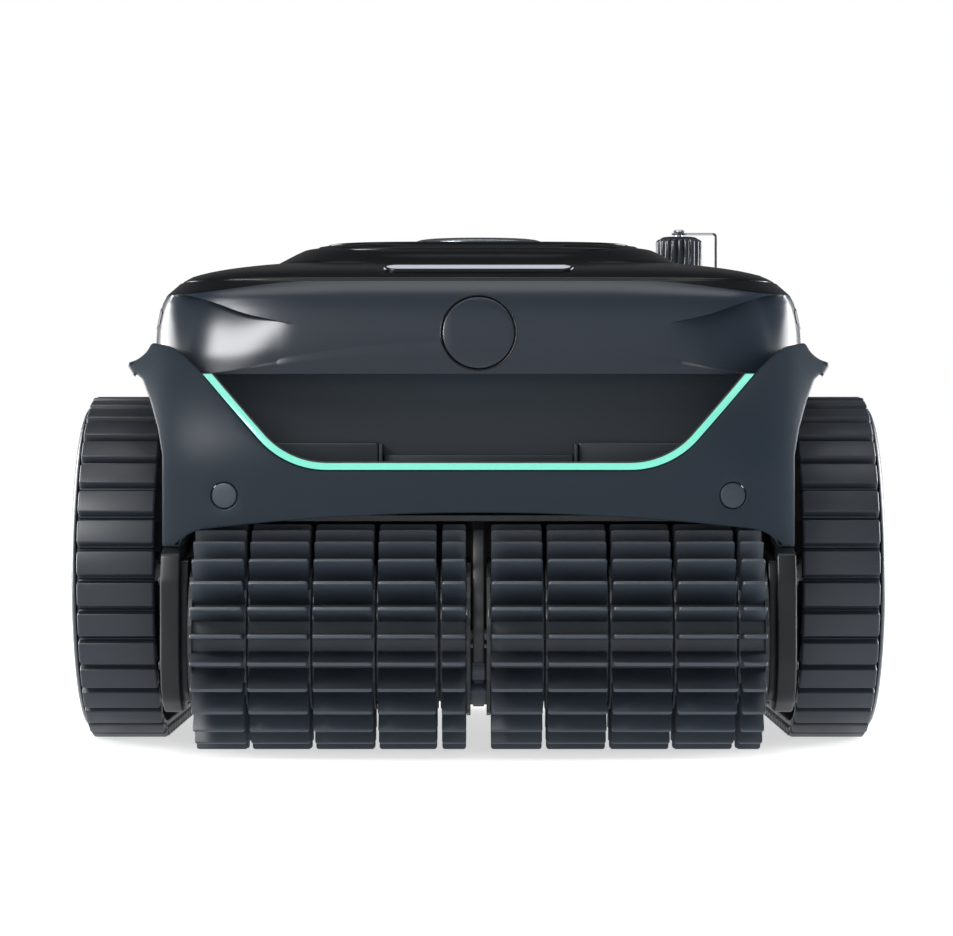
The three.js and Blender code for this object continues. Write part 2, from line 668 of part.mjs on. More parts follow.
addPiece('bottom_chassis', DARK, bottomChassis());
addPiece('front_bumper', SLATE, frontBumper());
addPiece('upper_shell', SLATE, upperShell());
addPiece('top_cover', BLACK_GLOSS, topCover());
addPiece('light_strip', TEAL, lightStrip());
addPiece('recess_panel', DARK, recessPanel());
addPiece('roller_hood', DARK, rollerHood());
addPiece('center_bracket', DARK, centreBracket());
addPiece('status_light_lens', LENS, statusLens());
addPiece('filter_lid', BLACK_GLOSS, filterLid());
addPiece('lid_oval_plate', SILVER, ovalPlate(275 + GAP, 0));
addPiece('lid_seal', RUBBER, surface(lidRing(closed([[83, 265], [86.5, 265], [86.5, 269], [83, 269]]))));
addPiece('lid_hinge_pin', STEEL, prism('x', circle(LID_HINGE_Y, LID_HINGE_Z, 2), -33, 33, 10));
addPiece('power_button', SLATE, powerButton());
addPiece('button_spring', STEEL, buttonSpring());
addPiece('button_carrier', DARK, prism('y', circle(BUTTON_Z, 0, 14), -145.4, -142, 14));
addPiece('filter_basket', DARK, filterBasket());
addPiece('intake_duct', DARK, intakeDuct());
addPiece('intake_flap', RUBBER, intakeFlap());
addPiece('impeller', DARK, impeller());
const pumpProfile = [[0, 118], [28, 118], [28, 198], [12, 198], [12, 205], [0, 205]];
addPiece('pump_motor', MOTOR, turned(pumpProfile), 0, PUMP_Y);
const ductProfile = [[27.6, 208], [OUTLET_R, 208], [OUTLET_R, 254], [27.6, 254]];
addPiece('outlet_duct', DARK, turned(closed(ductProfile), 20), 0, PUMP_Y);
addPiece('outlet_grille', DARK, outletGrille());
addPiece('battery_pack', DARK, roundedBox(150, 90, 29, 84), 0, 14);
addPiece('control_box', DARK, roundedBox(120, 70, 95, 125), 0, 14);
addPiece('charging_socket', DARK, turned([
  [0, 240], [11.2, 240], [11.2, 262.6], [17, 262.6], [17, 264.6], [11.2, 264.6], [11.2, 281],
  [8.5, 281], [8.5, 250], [0, 250],
], 14), PORT_X, PORT_Y);
addPiece('charging_cap', BLACK_GLOSS, chargingCap(), PORT_X, PORT_Y);
addPiece('cap_rivet', STEEL, turned([
  [0, CAP_TOP_Z + GAP], [2, CAP_TOP_Z + GAP], [2, CAP_TOP_Z + 2.6], [3.5, CAP_TOP_Z + 2.6],
  [3.5, CAP_TOP_Z + 3.4], [2.4, CAP_TOP_Z + 4.2], [0, CAP_TOP_Z + 4.2],
], 12), PORT_X, PORT_Y);
addPiece('cap_tether', RUBBER, capTether());
addPiece('carry_handle', SLATE, carryHandle());

for (const [side, name] of [[-1, 'left'], [1, 'right']]) {
  addPiece(`track_${name}`, RUBBER, sidePrism(trackShape(), side, TRACK_NEAR, TRACK_FAR, 14));
  addPiece(`track_cover_${name}`, SLATE, trackCover(side));
  addPiece(`track_frame_${name}`, DARK, sidePrism(capsule(25, 58, 7, 25, 130, 7), side, 147.5, 212.2, 6));
  addPiece(`drive_wheel_${name}`, DARK, trackWheel(side), 0, REAR_WHEEL_Y, WHEEL_Z);
  addPiece(`drive_shaft_${name}`, STEEL, driveShaft(side), 0, REAR_WHEEL_Y, WHEEL_Z);
  addPiece(`drive_motor_${name}`, MOTOR, driveMotor(side), 0, REAR_WHEEL_Y, WHEEL_Z);
  addPiece(`front_wheel_${name}`, DARK, trackWheel(side), 0, FRONT_WHEEL_Y, WHEEL_Z);
  addPiece(`front_shaft_${name}`, STEEL, frontShaft(side), 0, FRONT_WHEEL_Y, WHEEL_Z);
  addPiece(`side_bracket_${name}`, DARK, sideBracket(side));
  addPiece(`drive_belt_${name}`, RUBBER, driveBelt(side));
  addPiece(`roller_core_${name}`, DARK, rollerCore(side), 0, ROLLER_Y, ROLLER_Z);
  addPiece(`roller_shaft_${name}`, STEEL, rollerShaft(side), 0, ROLLER_Y, ROLLER_Z);
  addPiece(`roller_brush_${name}`, RUBBER, sidePrism(brushShape(), side, 6.5, 147.3, 20));
  addPiece(`screw_plug_${name}`, SLATE, screwPlug(side));
}

export default robot;
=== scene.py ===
import json
import math

import bpy
import bmesh
import numpy as np
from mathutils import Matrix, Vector, geometry


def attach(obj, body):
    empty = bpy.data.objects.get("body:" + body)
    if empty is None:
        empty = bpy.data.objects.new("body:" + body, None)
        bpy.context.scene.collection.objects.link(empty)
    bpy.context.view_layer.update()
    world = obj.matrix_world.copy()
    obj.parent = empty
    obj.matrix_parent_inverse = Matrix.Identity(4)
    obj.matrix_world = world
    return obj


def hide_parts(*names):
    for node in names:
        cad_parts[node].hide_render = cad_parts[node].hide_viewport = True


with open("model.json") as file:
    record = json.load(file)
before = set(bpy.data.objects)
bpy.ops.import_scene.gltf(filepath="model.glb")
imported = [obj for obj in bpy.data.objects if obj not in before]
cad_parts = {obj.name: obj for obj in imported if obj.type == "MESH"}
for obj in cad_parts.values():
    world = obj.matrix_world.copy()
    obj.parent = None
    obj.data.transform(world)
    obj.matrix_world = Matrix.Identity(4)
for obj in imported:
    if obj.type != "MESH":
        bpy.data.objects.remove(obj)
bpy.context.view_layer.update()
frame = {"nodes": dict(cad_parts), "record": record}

MM = 0.001

# Plan and profiles of the body, in millimetres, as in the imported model.
BODY_Y = 15.0
BODY_A = 178.0
BODY_B = 175.0
BODY_N = 6.0
BODY_RAKE = 0.17
SHELL_BOTTOM = 197.0
BUMPER_HALF = 192.0
BUMPER_REACH = 212.5
BUMPER_LEAN = 0.0085
LEAN_START = 145.0
STRIP_BOTTOM = 149.3
STRIP_TOP_X = 142.5
STRIP_TOP_Z = 198.0
STRIP_SLOPE = math.radians(48)
STRIP_BEND = 45.8
LID_Y = -8.0
ROLLER_Y = -165.0
ROLLER_Z = 60.0
WHEEL_Z = 94.0
FRONT_WHEEL_Y = -70.0
REAR_WHEEL_Y = 120.0
TRACK_ROOT = 88.5
CAP_X = 118.5
CAP_Y = 60.0
OUTLET_Y = 118.0
LENS_HALF = 44.0
LENS_Y = -124.0
PLUG_X = 131.7
PLUG_Z = 134.3
LUG_COUNT = 59
BLADE_COUNT = 26


# ---------------------------------------------------------------- shapes

def join(shapes):
    points, faces, start = [], [], 0
    for pts, fcs in shapes:
        points.append(np.asarray(pts, float))
        faces += [[i + start for i in f] for f in fcs]
        start += len(pts)
    return np.vstack(points), faces


def moved(shape, shift=(0, 0, 0), turn=0.0, axis="x"):
    """The shape turned about an axis through the origin, then shifted."""
    pts = np.array(shape[0], float)
    c, s = math.cos(turn), math.sin(turn)
    i, j = {"x": (1, 2), "y": (2, 0), "z": (0, 1)}[axis]
    a, b = pts[:, i].copy(), pts[:, j].copy()
    pts[:, i], pts[:, j] = a * c - b * s, a * s + b * c
    return pts + np.asarray(shift, float), shape[1]


def mirrored(shape):
    pts = np.asarray(shape[0], float) * (-1, 1, 1)
    return pts, [list(reversed(f)) for f in shape[1]]


def both_sides(shape):
    return join([shape, mirrored(shape)])


def loft(rings, ends=True, loop=False):
    """Quads between rings of the same length; ends caps the first and last."""
    rings = np.asarray(rings, float)
    count, size = rings.shape[:2]
    faces = []
    rows = count if loop else count - 1
    for i in range(rows):
        a, b = i * size, ((i + 1) % count) * size
        for j in range(size):
            k = (j + 1) % size
            faces.append([a + j, a + k, b + k, b + j])
    if ends and not loop:
        faces.append(list(range(size))[::-1])
        faces.append([(count - 1) * size + j for j in range(size)])
    return rings.reshape(-1, 3), faces


def fillet(points, radius, steps=4):
    """A closed outline with its corners rounded; radius may be one per point."""
    pts = [np.asarray(p, float) for p in points]
    out, count = [], len(pts)
    for i, p in enumerate(pts):
        r = radius[i] if isinstance(radius, (list, tuple)) else radius
        a, b = pts[i - 1] - p, pts[(i + 1) % count] - p
        la, lb = np.linalg.norm(a), np.linalg.norm(b)
        a, b = a / la, b / lb
        cos = float(np.clip(np.dot(a, b), -1, 1))
        half = math.acos(cos) / 2
        if r <= 0 or half > math.radians(87):
            out.append(p)
            continue
        cut = min(r / math.tan(half), 0.45 * la, 0.45 * lb)
        r = cut * math.tan(half)
        centre = p + (a + b) / np.linalg.norm(a + b) * (r / math.sin(half))
        p0, p1 = p + a * cut - centre, p + b * cut - centre
        sweep = math.pi - 2 * half
        for k in range(steps + 1):
            t = k / steps
            w0 = math.sin((1 - t) * sweep) / math.sin(sweep)
            w1 = math.sin(t * sweep) / math.sin(sweep)
            out.append(centre + p0 * w0 + p1 * w1)
    return np.array(out)


def spaced(points, step, closed=True):
    """The same outline with its long edges divided."""
    pts = np.asarray(points, float)
    out, last = [], len(pts) if closed else len(pts) - 1
    for i in range(last):
        a, b = pts[i], pts[(i + 1) % len(pts)]
        parts = max(1, int(round(np.linalg.norm(b - a) / step)))
        out += [a + (b - a) * k / parts for k in range(parts)]
    if not closed:
        out.append(pts[-1])
    return np.array(out)


def thinned(points, gap):
    """An outline without the points that lie within gap of the last one kept."""
    keep = [0]
    for i in range(1, len(points)):
        if np.hypot(*(points[i] - points[keep[-1]])) > gap:
            keep.append(i)
    return points[keep]


def area(outline):
    x, y = np.asarray(outline, float).T
    return 0.5 * float(np.sum(x * np.roll(y, -1) - np.roll(x, -1) * y))


def inset(outline, depth):
    """A closed outline moved inwards by depth, with mitred corners."""
    pts = np.asarray(outline, float)
    ahead = np.roll(pts, -1, 0) - pts
    ahead /= np.maximum(np.linalg.norm(ahead, axis=1, keepdims=True), 1e-9)
    back = np.roll(ahead, 1, 0)
    turn = 1.0 if area(pts) > 0 else -1.0
    n = np.stack([-(ahead[:, 1] + back[:, 1]), ahead[:, 0] + back[:, 0]], 1) * turn
    n /= np.maximum(np.linalg.norm(n, axis=1, keepdims=True), 1e-9)
    face = np.stack([-ahead[:, 1], ahead[:, 0]], 1) * turn
    stretch = np.maximum(np.sum(n * face, 1), 0.5)
    return pts + n * (depth / stretch)[:, None]


def circle(radius, count=48, centre=(0, 0)):
    a = np.arange(count) * 2 * math.pi / count
    return np.stack([centre[0] + radius * np.cos(a), centre[1] + radius * np.sin(a)], 1)


def box_outline(x0, y0, x1, y1, radius=2.0, steps=4):
    return fillet([(x0, y0), (x1, y0), (x1, y1), (x0, y1)], radius, steps)


def stadium(x0, x1, y, radius, count=12):
    """Two half circles joined by straight runs, counter-clockwise."""
    out = []
    for k in range(count + 1):
        a = -math.pi / 2 + math.pi * k / count
        out.append((x1 + radius * math.cos(a), y + radius * math.sin(a)))
    for k in range(count + 1):
        a = math.pi / 2 + math.pi * k / count
        out.append((x0 + radius * math.cos(a), y + radius * math.sin(a)))
    return np.array(out)


def to_axis(u, v, w, axis):
    """x: (u, v) is (y, z); y: (u, v) is (x, z); z: (u, v) is (x, y)."""
    cols = {"x": (w, u, v), "y": (u, w, v), "z": (u, v, w)}[axis]
    return np.stack(np.broadcast_arrays(*cols), 1).astype(float)


def prism(outline, low, high, axis, edge=0.8, steps=3):
    """An outline pushed along an axis, with both ends' edges rounded."""
    rings = []
    turns = [math.pi / 2 * k / steps for k in range(steps + 1)]
    for a in reversed(turns):
        p = inset(outline, edge * (1 - math.cos(a)))
        rings.append(to_axis(p[:, 0], p[:, 1], low + edge * (1 - math.sin(a)), axis))
    for a in turns:
        p = inset(outline, edge * (1 - math.cos(a)))
        rings.append(to_axis(p[:, 0], p[:, 1], high - edge * (1 - math.sin(a)), axis))
    return loft(rings)


def lathe(profile, centre, axis, count=64, closed=True):
    """A closed (radius, height) profile turned about an axis through centre."""
    a = np.arange(count) * 2 * math.pi / count
    rings = []
    for r, h in profile:
        u, v, w = r * np.cos(a), r * np.sin(a), np.full(count, float(h))
        rings.append(to_axis(u, v, w, axis) + np.asarray(centre, float))
    return loft(rings, ends=not closed, loop=closed)


def inside(points, outline):
    """Which points lie within a closed outline."""
    x, y = np.asarray(points, float).T
    poly = np.asarray(outline, float)
    hit = np.zeros(len(x), bool)
    for (x0, y0), (x1, y1) in zip(poly, np.roll(poly, -1, 0)):
        if y0 == y1:
            continue
        cross = (y0 > y) != (y1 > y)
        hit ^= cross & (x < (x1 - x0) * (y - y0) / (y1 - y0) + x0)
    return hit


def near(points, outline, reach):
    """Which points lie within reach of an outline's points."""
    pts, poly = np.asarray(points, float), np.asarray(outline, float)
    gap = np.full(len(pts), 1e9)
    for p in poly:
        gap = np.minimum(gap, np.hypot(pts[:, 0] - p[0], pts[:, 1] - p[1]))
    return gap < reach


def fill(outlines, spacing):
    """Points and triangles that fill the first outline less the others."""
    outer = outlines[0]
    lo, hi = outer.min(0), outer.max(0)
    grid = []
    if spacing:
        us = np.arange(lo[0] + spacing / 2, hi[0], spacing)
        vs = np.arange(lo[1] + spacing / 2, hi[1], spacing)
        grid = np.stack(np.meshgrid(us, vs), -1).reshape(-1, 2)
        keep = inside(grid, outer)
        for hole in outlines[1:]:
            keep &= ~inside(grid, hole)
        grid = grid[keep]
        for line in outlines:
            grid = grid[~near(grid, line, spacing * 0.62)]
    points, edges, start = [], [], 0
    for line in outlines:
        points += [tuple(p) for p in line]
        size = len(line)
        edges += [(start + i, start + (i + 1) % size) for i in range(size)]
        start += size
    points += [tuple(p) for p in grid]
    made = geometry.delaunay_2d_cdt(points, edges, [], 0, 1e-6)
    verts, tris = np.array([tuple(v) for v in made[0]]), made[2]
    first = {i: (ids[0] if ids else None) for i, ids in enumerate(made[3])}
    mid = np.array([verts[list(t)].mean(0) for t in tris])
    keep = inside(mid, outer)
    for hole in outlines[1:]:
        keep &= ~inside(mid, hole)
    tris = [[first[i] for i in t] for t, k in zip(tris, keep) if k]
    return np.array(points), [t for t in tris if None not in t and len(set(t)) == 3]


def forward(shape):
    """A plate built along the reversed y axis, turned to face the front."""
    points = shape[0].copy()
    points[:, 1] *= -1
    return points, shape[1]


def height(value, p):
    return value(p[:, 0], p[:, 1]) if callable(value) else np.full(len(p), float(value))


def plate(outline, holes, low, high, axis, edge=0.8, spacing=0, steps=3, low_edge=0.3):
    """A sheet between two surfaces over (u, v), with holes and rounded edges."""
    lines = [np.asarray(outline, float)]
    if area(lines[0]) < 0:
        lines[0] = lines[0][::-1]
    for hole in holes:
        hole = np.asarray(hole, float)
        lines.append(hole if area(hole) < 0 else hole[::-1])

    def shrunk(depth):
        out = [inset(lines[0], depth)]
        return out + [inset(line[::-1], -depth)[::-1] for line in lines[1:]]

    shapes = []
    caps = {}
    for value, rim, sign in ((high, edge, 1), (low, low_edge, -1)):
        points, tris = fill(shrunk(rim), spacing)
        w = height(value, points)
        caps[sign] = (to_axis(points[:, 0], points[:, 1], w, axis), tris)
    for index, line in enumerate(lines):
        rings = []
        for value, rim, sign, turns in ((low, low_edge, -1, range(steps, -1, -1)),
                                        (high, edge, 1, range(steps + 1))):
            for k in turns:
                a = math.pi / 2 * k / steps
                p = shrunk(rim * (1 - math.cos(a)))[index]
                w = height(value, p) - sign * rim * (1 - math.sin(a))
                rings.append(to_axis(p[:, 0], p[:, 1], w, axis))
        shapes.append(loft(rings, ends=False))
    for sign, (points, tris) in caps.items():
        shapes.append((points, [t if sign > 0 else t[::-1] for t in tris]))
    return join(shapes)


def curve(points):
    """A smooth line through points, returned as a function of the first value."""
    pts = np.asarray(points, float)
    x, y = pts.T
    slope = np.diff(y) / np.diff(x)
    m = np.concatenate([[slope[0]], (slope[1:] + slope[:-1]) / 2, [slope[-1]]])
    for i, s in enumerate(slope):
        if abs(s) < 1e-9:
            m[i] = m[i + 1] = 0.0
        elif slope[i - 1] * s < 0 and i:
            m[i] = 0.0

    def at(value):
        v = np.clip(np.asarray(value, float), x[0], x[-1])
        i = np.clip(np.searchsorted(x, v, side="right") - 1, 0, len(x) - 2)
        h = x[i + 1] - x[i]
        t = (v - x[i]) / h
        a = (1 + 2 * t) * (1 - t) ** 2 * y[i] + t * (1 - t) ** 2 * h * m[i]
        return a + t * t * (3 - 2 * t) * y[i + 1] - t * t * (1 - t) * h * m[i + 1]

    return at


def smooth(low, high, value):
    t = np.clip((np.asarray(value, float) - low) / (high - low), 0, 1)
    return t * t * (3 - 2 * t)


def oval_plan(count, power, half_x, half_y):
    """Unit points of a rounded plan, evenly spaced along its length."""
    a = np.linspace(0, math.pi / 2, 4001)
    x, y = np.cos(a) ** (2 / power), np.sin(a) ** (2 / power)
    gap = np.hypot(np.diff(x * half_x), np.diff(y * half_y))
    run = np.concatenate([[0], np.cumsum(gap)])
    quarter = count // 4
    want = np.linspace(0, run[-1], quarter + 1)
    qx, qy = np.interp(want, run, x), np.interp(want, run, y)
    x = np.concatenate([qx[:-1], -qx[::-1][:-1], -qx[:-1], qx[::-1][:-1]])
    y = np.concatenate([qy[:-1], qy[::-1][:-1], -qy[:-1], -qy[::-1][:-1]])
    return x, y


def capsule(radius, low, high, z):
    """An outline in (y, z) round two centres, with as many points at every radius."""
    count, parts = 40, 24
    out = []
    for k in range(count + 1):
        a = -math.pi / 2 + math.pi * k / count
        out.append((high + radius * math.cos(a), z + radius * math.sin(a)))
    for k in range(1, parts):
        out.append((high + (low - high) * k / parts, z + radius))
    for k in range(count + 1):
        a = math.pi / 2 + math.pi * k / count
        out.append((low + radius * math.cos(a), z + radius * math.sin(a)))
    for k in range(1, parts):
        out.append((low + (high - low) * k / parts, z - radius))
    return np.array(out)


# ------------------------------------------------------------- materials

RAMP_START, RAMP_END = 0.22, 0.78
GRAIN_DEPTH = 0.0002


def node(tree, kind, **values):
    made = tree.nodes.new(kind)
    for key, value in values.items():
        if key in made.inputs:
            made.inputs[key].default_value = value
        else:
            setattr(made, key, value)
    return made


def noise(tree, scale, detail=3.0, stretch=(1, 1, 1)):
    place = node(tree, "ShaderNodeTexCoord")
    shape = node(tree, "ShaderNodeMapping")
    shape.inputs["Scale"].default_value = stretch
    made = node(tree, "ShaderNodeTexNoise", Scale=scale, Detail=detail)
    tree.links.new(place.outputs["Object"], shape.inputs["Vector"])
    tree.links.new(shape.outputs["Vector"], made.inputs["Vector"])
    return made.outputs["Fac"]


def ramp(tree, source, low, high):
    """A source value spread between two numbers or two colours."""
    made = node(tree, "ShaderNodeValToRGB")
    made.color_ramp.elements[0].position = RAMP_START
    made.color_ramp.elements[1].position = RAMP_END
    for element, value in zip(made.color_ramp.elements, (low, high)):
        full = value if isinstance(value, (tuple, list)) else (value,) * 3
        element.color = tuple(full) + (1.0,)
    tree.links.new(source, made.inputs["Fac"])
    return made.outputs["Color"]


def finish(name, colour, rough, spread=0.06, tone=0.12, grain=900.0, bump=0.08,
           streak=(1, 1, 1), metal=0.0, level=0.5, glow=0.0):
    """A moulded or coated surface: mottled tone, uneven gloss and fine grain."""
    mat = bpy.data.materials.new(name)
    mat.use_nodes = True
    tree = mat.node_tree
    shader = tree.nodes["Principled BSDF"]
    shader.inputs["Metallic"].default_value = metal
    shader.inputs["Specular IOR Level"].default_value = level
    dark = tuple(c * (1 - tone) for c in colour)
    light = tuple(min(1.0, c * (1 + tone)) for c in colour)
    wide = noise(tree, 22.0, 4.0, streak)
    tree.links.new(ramp(tree, wide, dark, light), shader.inputs["Base Color"])
    patch = noise(tree, 90.0, 2.0, streak)
    tree.links.new(ramp(tree, patch, max(0.02, rough - spread), rough + spread),
                   shader.inputs["Roughness"])
    fine = noise(tree, grain, 2.0, streak)
    lift = node(tree, "ShaderNodeBump", Strength=bump, Distance=GRAIN_DEPTH)
    tree.links.new(fine, lift.inputs["Height"])
    tree.links.new(lift.outputs["Normal"], shader.inputs["Normal"])
    if glow:
        shader.inputs["Emission Color"].default_value = tuple(colour) + (1.0,)
        shader.inputs["Emission Strength"].default_value = glow
    return mat


SLATE = finish("slate_satin", (0.024, 0.034, 0.050), 0.28, 0.004, 0.012, 1400.0, 0.02,
               level=0.35)
PANEL = finish("slate_panel", (0.026, 0.037, 0.052), 0.46, 0.01, 0.02, 1400.0, 0.04,
               level=0.1)
# Grained slate with a lighter base colour than slate_satin: painted light that brightens the
# shaded recess behind the front panel; the screw plug caps share it.
SLATE_GRAIN_PAINTED_LIGHT = finish("slate_grained_painted_light", (0.038, 0.054, 0.074), 0.5, 0.02, 0.05, bump=0.1,
                     level=0.35)
BLACK = finish("cover_gloss_black", (0.006, 0.007, 0.009), 0.22, 0.01, 0.04, 1500.0, 0.02,
               level=0.24)
BLACK_SATIN = finish("trim_satin_black", (0.013, 0.015, 0.018), 0.38)
DARK = finish("frame_matt_dark", (0.02, 0.023, 0.027), 0.55, grain=700.0, bump=0.2)
RUBBER = finish("rubber_ribbed", (0.046, 0.060, 0.080), 0.5, 0.04, 0.08, 650.0, 0.12)
TREAD = finish("rubber_tread", (0.024, 0.032, 0.044), 0.45, 0.04, 0.08, 600.0, 0.12,
               level=0.35)
FRAME = finish("frame_satin_dark", (0.007, 0.009, 0.012), 0.4, 0.03, 0.06, 900.0, 0.06,
               level=0.3)
STEEL = finish("steel_brushed", (0.55, 0.56, 0.57), 0.3, 0.08, 0.1, 900.0, 0.1,
               streak=(8, 1, 1), metal=1.0)
SILVER = finish("plate_silver", (0.16, 0.18, 0.2), 0.24, 0.05, 0.06, 1200.0, 0.03, metal=0.6)
TEAL = finish("light_guide_teal", (0.13, 0.50, 0.39), 0.3, 0.05, 0.04, 900.0, 0.02, glow=0.95)
LENS = finish("lens_lavender", (0.30, 0.32, 0.36), 0.2, 0.04, 0.1, 900.0, 0.02, glow=1.15)
MOTOR = finish("motor_coated", (0.12, 0.13, 0.14), 0.4, grain=500.0, bump=0.15, metal=0.4)

SLOT_LOOKS = {
    "shell_slate": SLATE, "cover_black": BLACK, "frame_dark": DARK,
    "track_rubber": RUBBER, "steel": STEEL, "plate_silver": SILVER,
    "strip_teal": TEAL, "lens_white": LENS, "motor_metal": MOTOR,
}


def slot_looks():
    """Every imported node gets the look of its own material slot."""
    for row in frame["record"]["subparts"]:
        slots = frame["nodes"][row["node"]].data.materials
        for i in range(len(slots)):
            slots[i] = SLOT_LOOKS[row["material_slot"]]


def meshed(name, shape, weld=0.0):
    """A shape in millimetres as a mesh in metres, with outward faces."""
    points, faces = shape
    mesh = bpy.data.meshes.new(name)
    mesh.from_pydata([tuple(p) for p in np.asarray(points, float) * MM], [], faces)
    work = bmesh.new()
    work.from_mesh(mesh)
    if weld:
        bmesh.ops.remove_doubles(work, verts=work.verts, dist=weld)
    bmesh.ops.recalc_face_normals(work, faces=work.faces)
    work.to_mesh(mesh)
    work.free()
    return mesh


def piece(name, shape, look, body, nodes=(), crease=38):
    """A shape in millimetres becomes a piece that rides on a body."""
    mesh = meshed(name, shape, 0.02 * MM)
    mesh.polygons.foreach_set("use_smooth", [True] * len(mesh.polygons))
    mesh.set_sharp_from_angle(angle=math.radians(crease))
    obj = bpy.data.objects.new(name, mesh)
    bpy.context.scene.collection.objects.link(obj)
    mesh.materials.append(look)
    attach(obj, body)
    if nodes:
        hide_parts(*nodes)
    return obj


def cut(obj, shape, crease=38):
    """Takes a shape out of a piece."""
    tool = bpy.data.objects.new("cutter", meshed("cutter", shape))
    bpy.context.scene.collection.objects.link(tool)
    change = obj.modifiers.new("cut", "BOOLEAN")
    change.operation = "DIFFERENCE"
    change.solver = "EXACT"
    change.object = tool
    bpy.context.view_layer.update()
    seen = obj.evaluated_get(bpy.context.evaluated_depsgraph_get())
    made = bpy.data.meshes.new_from_object(seen)
    obj.modifiers.clear()
    old = obj.data
    obj.data = made
    bpy.data.meshes.remove(old)
    bpy.data.objects.remove(tool)
    made.polygons.foreach_set("use_smooth", [True] * len(made.polygons))
    made.set_sharp_from_angle(angle=math.radians(crease))
    return obj


# ---------------------------------------------------------------- bumper

FLARE_X = 171.0


def bumper_y(x, z):
    """The panel's front face, which runs on straight past the flare."""
    wide = np.minimum(np.abs(x), FLARE_X)
    side = 1 - (wide / BUMPER_HALF) ** 6
    lean = BUMPER_LEAN * np.maximum(0, np.asarray(z) - LEAN_START) ** 2
    return BODY_Y - BUMPER_REACH * side ** (1 / 6) + lean + (np.abs(x) - wide)


def flared(points):
    """Outline points past the flare, drawn in to where the straight run takes them."""
    pts = np.array(points, float)
    past = np.maximum(0, pts[:, 0] - FLARE_X)
    pts[:, 1] -= (pts[:, 1] - 148.5) * 0.004 * np.minimum(1, past / 12)
    pts[:, 0] += past * 0.02
    return pts


def strip_line(away):
    """The right half of the light strip's line, moved outwards by away."""
    arc, rise_parts = 14, 12
    c, s = math.cos(STRIP_SLOPE), math.sin(STRIP_SLOPE)
    bend_z = STRIP_BOTTOM + STRIP_BEND * (1 - c)
    bend_x = STRIP_TOP_X - (STRIP_TOP_Z - bend_z) * c / s
    mid_x, mid_z, r = bend_x - STRIP_BEND * s, STRIP_BOTTOM + STRIP_BEND, STRIP_BEND + away
    out = [(x, mid_z - r) for x in np.linspace(0, mid_x, 24)[:-1]]
    for k in range(arc + 1):
        a = STRIP_SLOPE * k / arc
        out.append((mid_x + r * math.sin(a), mid_z - r * math.cos(a)))
    x0, z0 = out[-1]
    rise = STRIP_TOP_Z - z0
    out += [(x0 + rise * c / s * k / rise_parts, z0 + rise * k / rise_parts)
            for k in range(1, rise_parts + 1)]
    return np.array(out)


def bumper_outline():
    """Right half, from the middle of the arch out and back to the recess."""
    arch = [(x, 125.4 - 9 * (x / 146) ** 2) for x in np.linspace(0, 143, 44)]
    arch += [(147.5, 115.6), (151.3, 113.6), (153.9, 111.0), (155.2, 107.9)]
    leg = fillet([(155.2, 107.9), (155.6, 107.5), (165.0, 107.5), (165.0, 155.0),
                  (168.0, 169.4), (173.0, 183.7), (178.5, 195.7), (184.0, 200.4)],
                 [0.1, 0.1, 1.2, 14, 14, 14, 6, 3], 4)
    tip = fillet([(184.0, 200.4), (187.6, 203.0), (187.4, 205.4), (182.4, 206.9),
                  (178.0, 210.4), (175.2, 215.9), (163.5, 213.2), (156.5, 208.4),
                  (147.6, 200.6), (145.6, 198.1)], [0, 0.9, 0.7, 12, 10, 2.2, 10, 12, 1, 0.2], 4)
    edge = strip_line(2.15)[::-1]
    line = np.vstack([arch, spaced(leg[1:], 2.4, False), spaced(tip[1:-1], 2.0, False), edge])
    return flared(thinned(line, 0.35))


def bumper():
    right = bumper_outline()
    left = right[::-1] * (-1, 1)
    outline = np.vstack([right, left[1:-1]])
    holes = [circle(6.95, 40, (x, PLUG_Z)) for x in (-PLUG_X, PLUG_X)]
    panel = plate(outline, holes, lambda x, z: -bumper_y(x, z) - 3.0,
                  lambda x, z: -bumper_y(x, z), "y", edge=1.1, spacing=4.0)
    ring = fillet([(178.6, 196.0), (184.0, 200.4), (187.0, 203.3), (186.5, 205.2),
                   (182.2, 207.2), (178.6, 210.0)], [0.2, 3, 1.3, 1, 4, 0.2], 4)
    ring = flared(ring)
    rings = []
    for k in range(17):
        t = k / 16
        shrink = 1 - 0.82 * smooth(0.25, 1.0, t)
        x = 178.9 + (ring[:, 0] - 178.9) * shrink
        z = 203.0 + (ring[:, 1] - 203.0) * (1 - 0.5 * smooth(0.3, 1.0, t))
        front = bumper_y(ring[:, 0], ring[:, 1]) + 2.0
        y = front + (-70.5 - front) * t
        rings.append(np.stack([x, y, z], 1))
    wing = loft(rings)
    piece("bumper_skin", join([forward(panel), both_sides(wing)]), PANEL, "chassis",
          ["front_bumper"], 32)
    for side, name in ((-1, "left"), (1, "right")):
        face = plate(circle(6.6, 40, (PLUG_X * side, PLUG_Z)),
                     [], lambda x, z: -bumper_y(x, z) - 3.2,
                     lambda x, z: -bumper_y(x, z) - 0.35, "y", edge=0.7, spacing=3.0)
        piece(f"screw_plug_cap_{name}", forward(face), SLATE_GRAIN_PAINTED_LIGHT, "chassis",
              [f"screw_plug_{name}"])


def light_strip():
    """The aqua light guide in a thin black channel along the recess edge."""
    def band(inner, outer, proud, depth, name, look, nodes):
        low = strip_line(outer)
        high = strip_line(inner)
        whole = np.vstack([low[::-1] * (-1, 1), low[1:], high[::-1], (high * (-1, 1))[1:]])
        shape = plate(whole, [], lambda x, z: -bumper_y(x, z) + proud - depth,
                      lambda x, z: -bumper_y(x, z) + proud, "y", edge=0.55,
                      spacing=0, low_edge=0.2)
        return piece(name, forward(shape), look, "chassis", nodes, 30)

    band(-2.6, 2.0, -0.5, 2.0, "strip_channel", BLACK_SATIN, ())
    band(-1.75, 1.75, 0.5, 2.6, "strip_light_guide", TEAL, ["light_strip"])


# ----------------------------------------------------------- upper shell

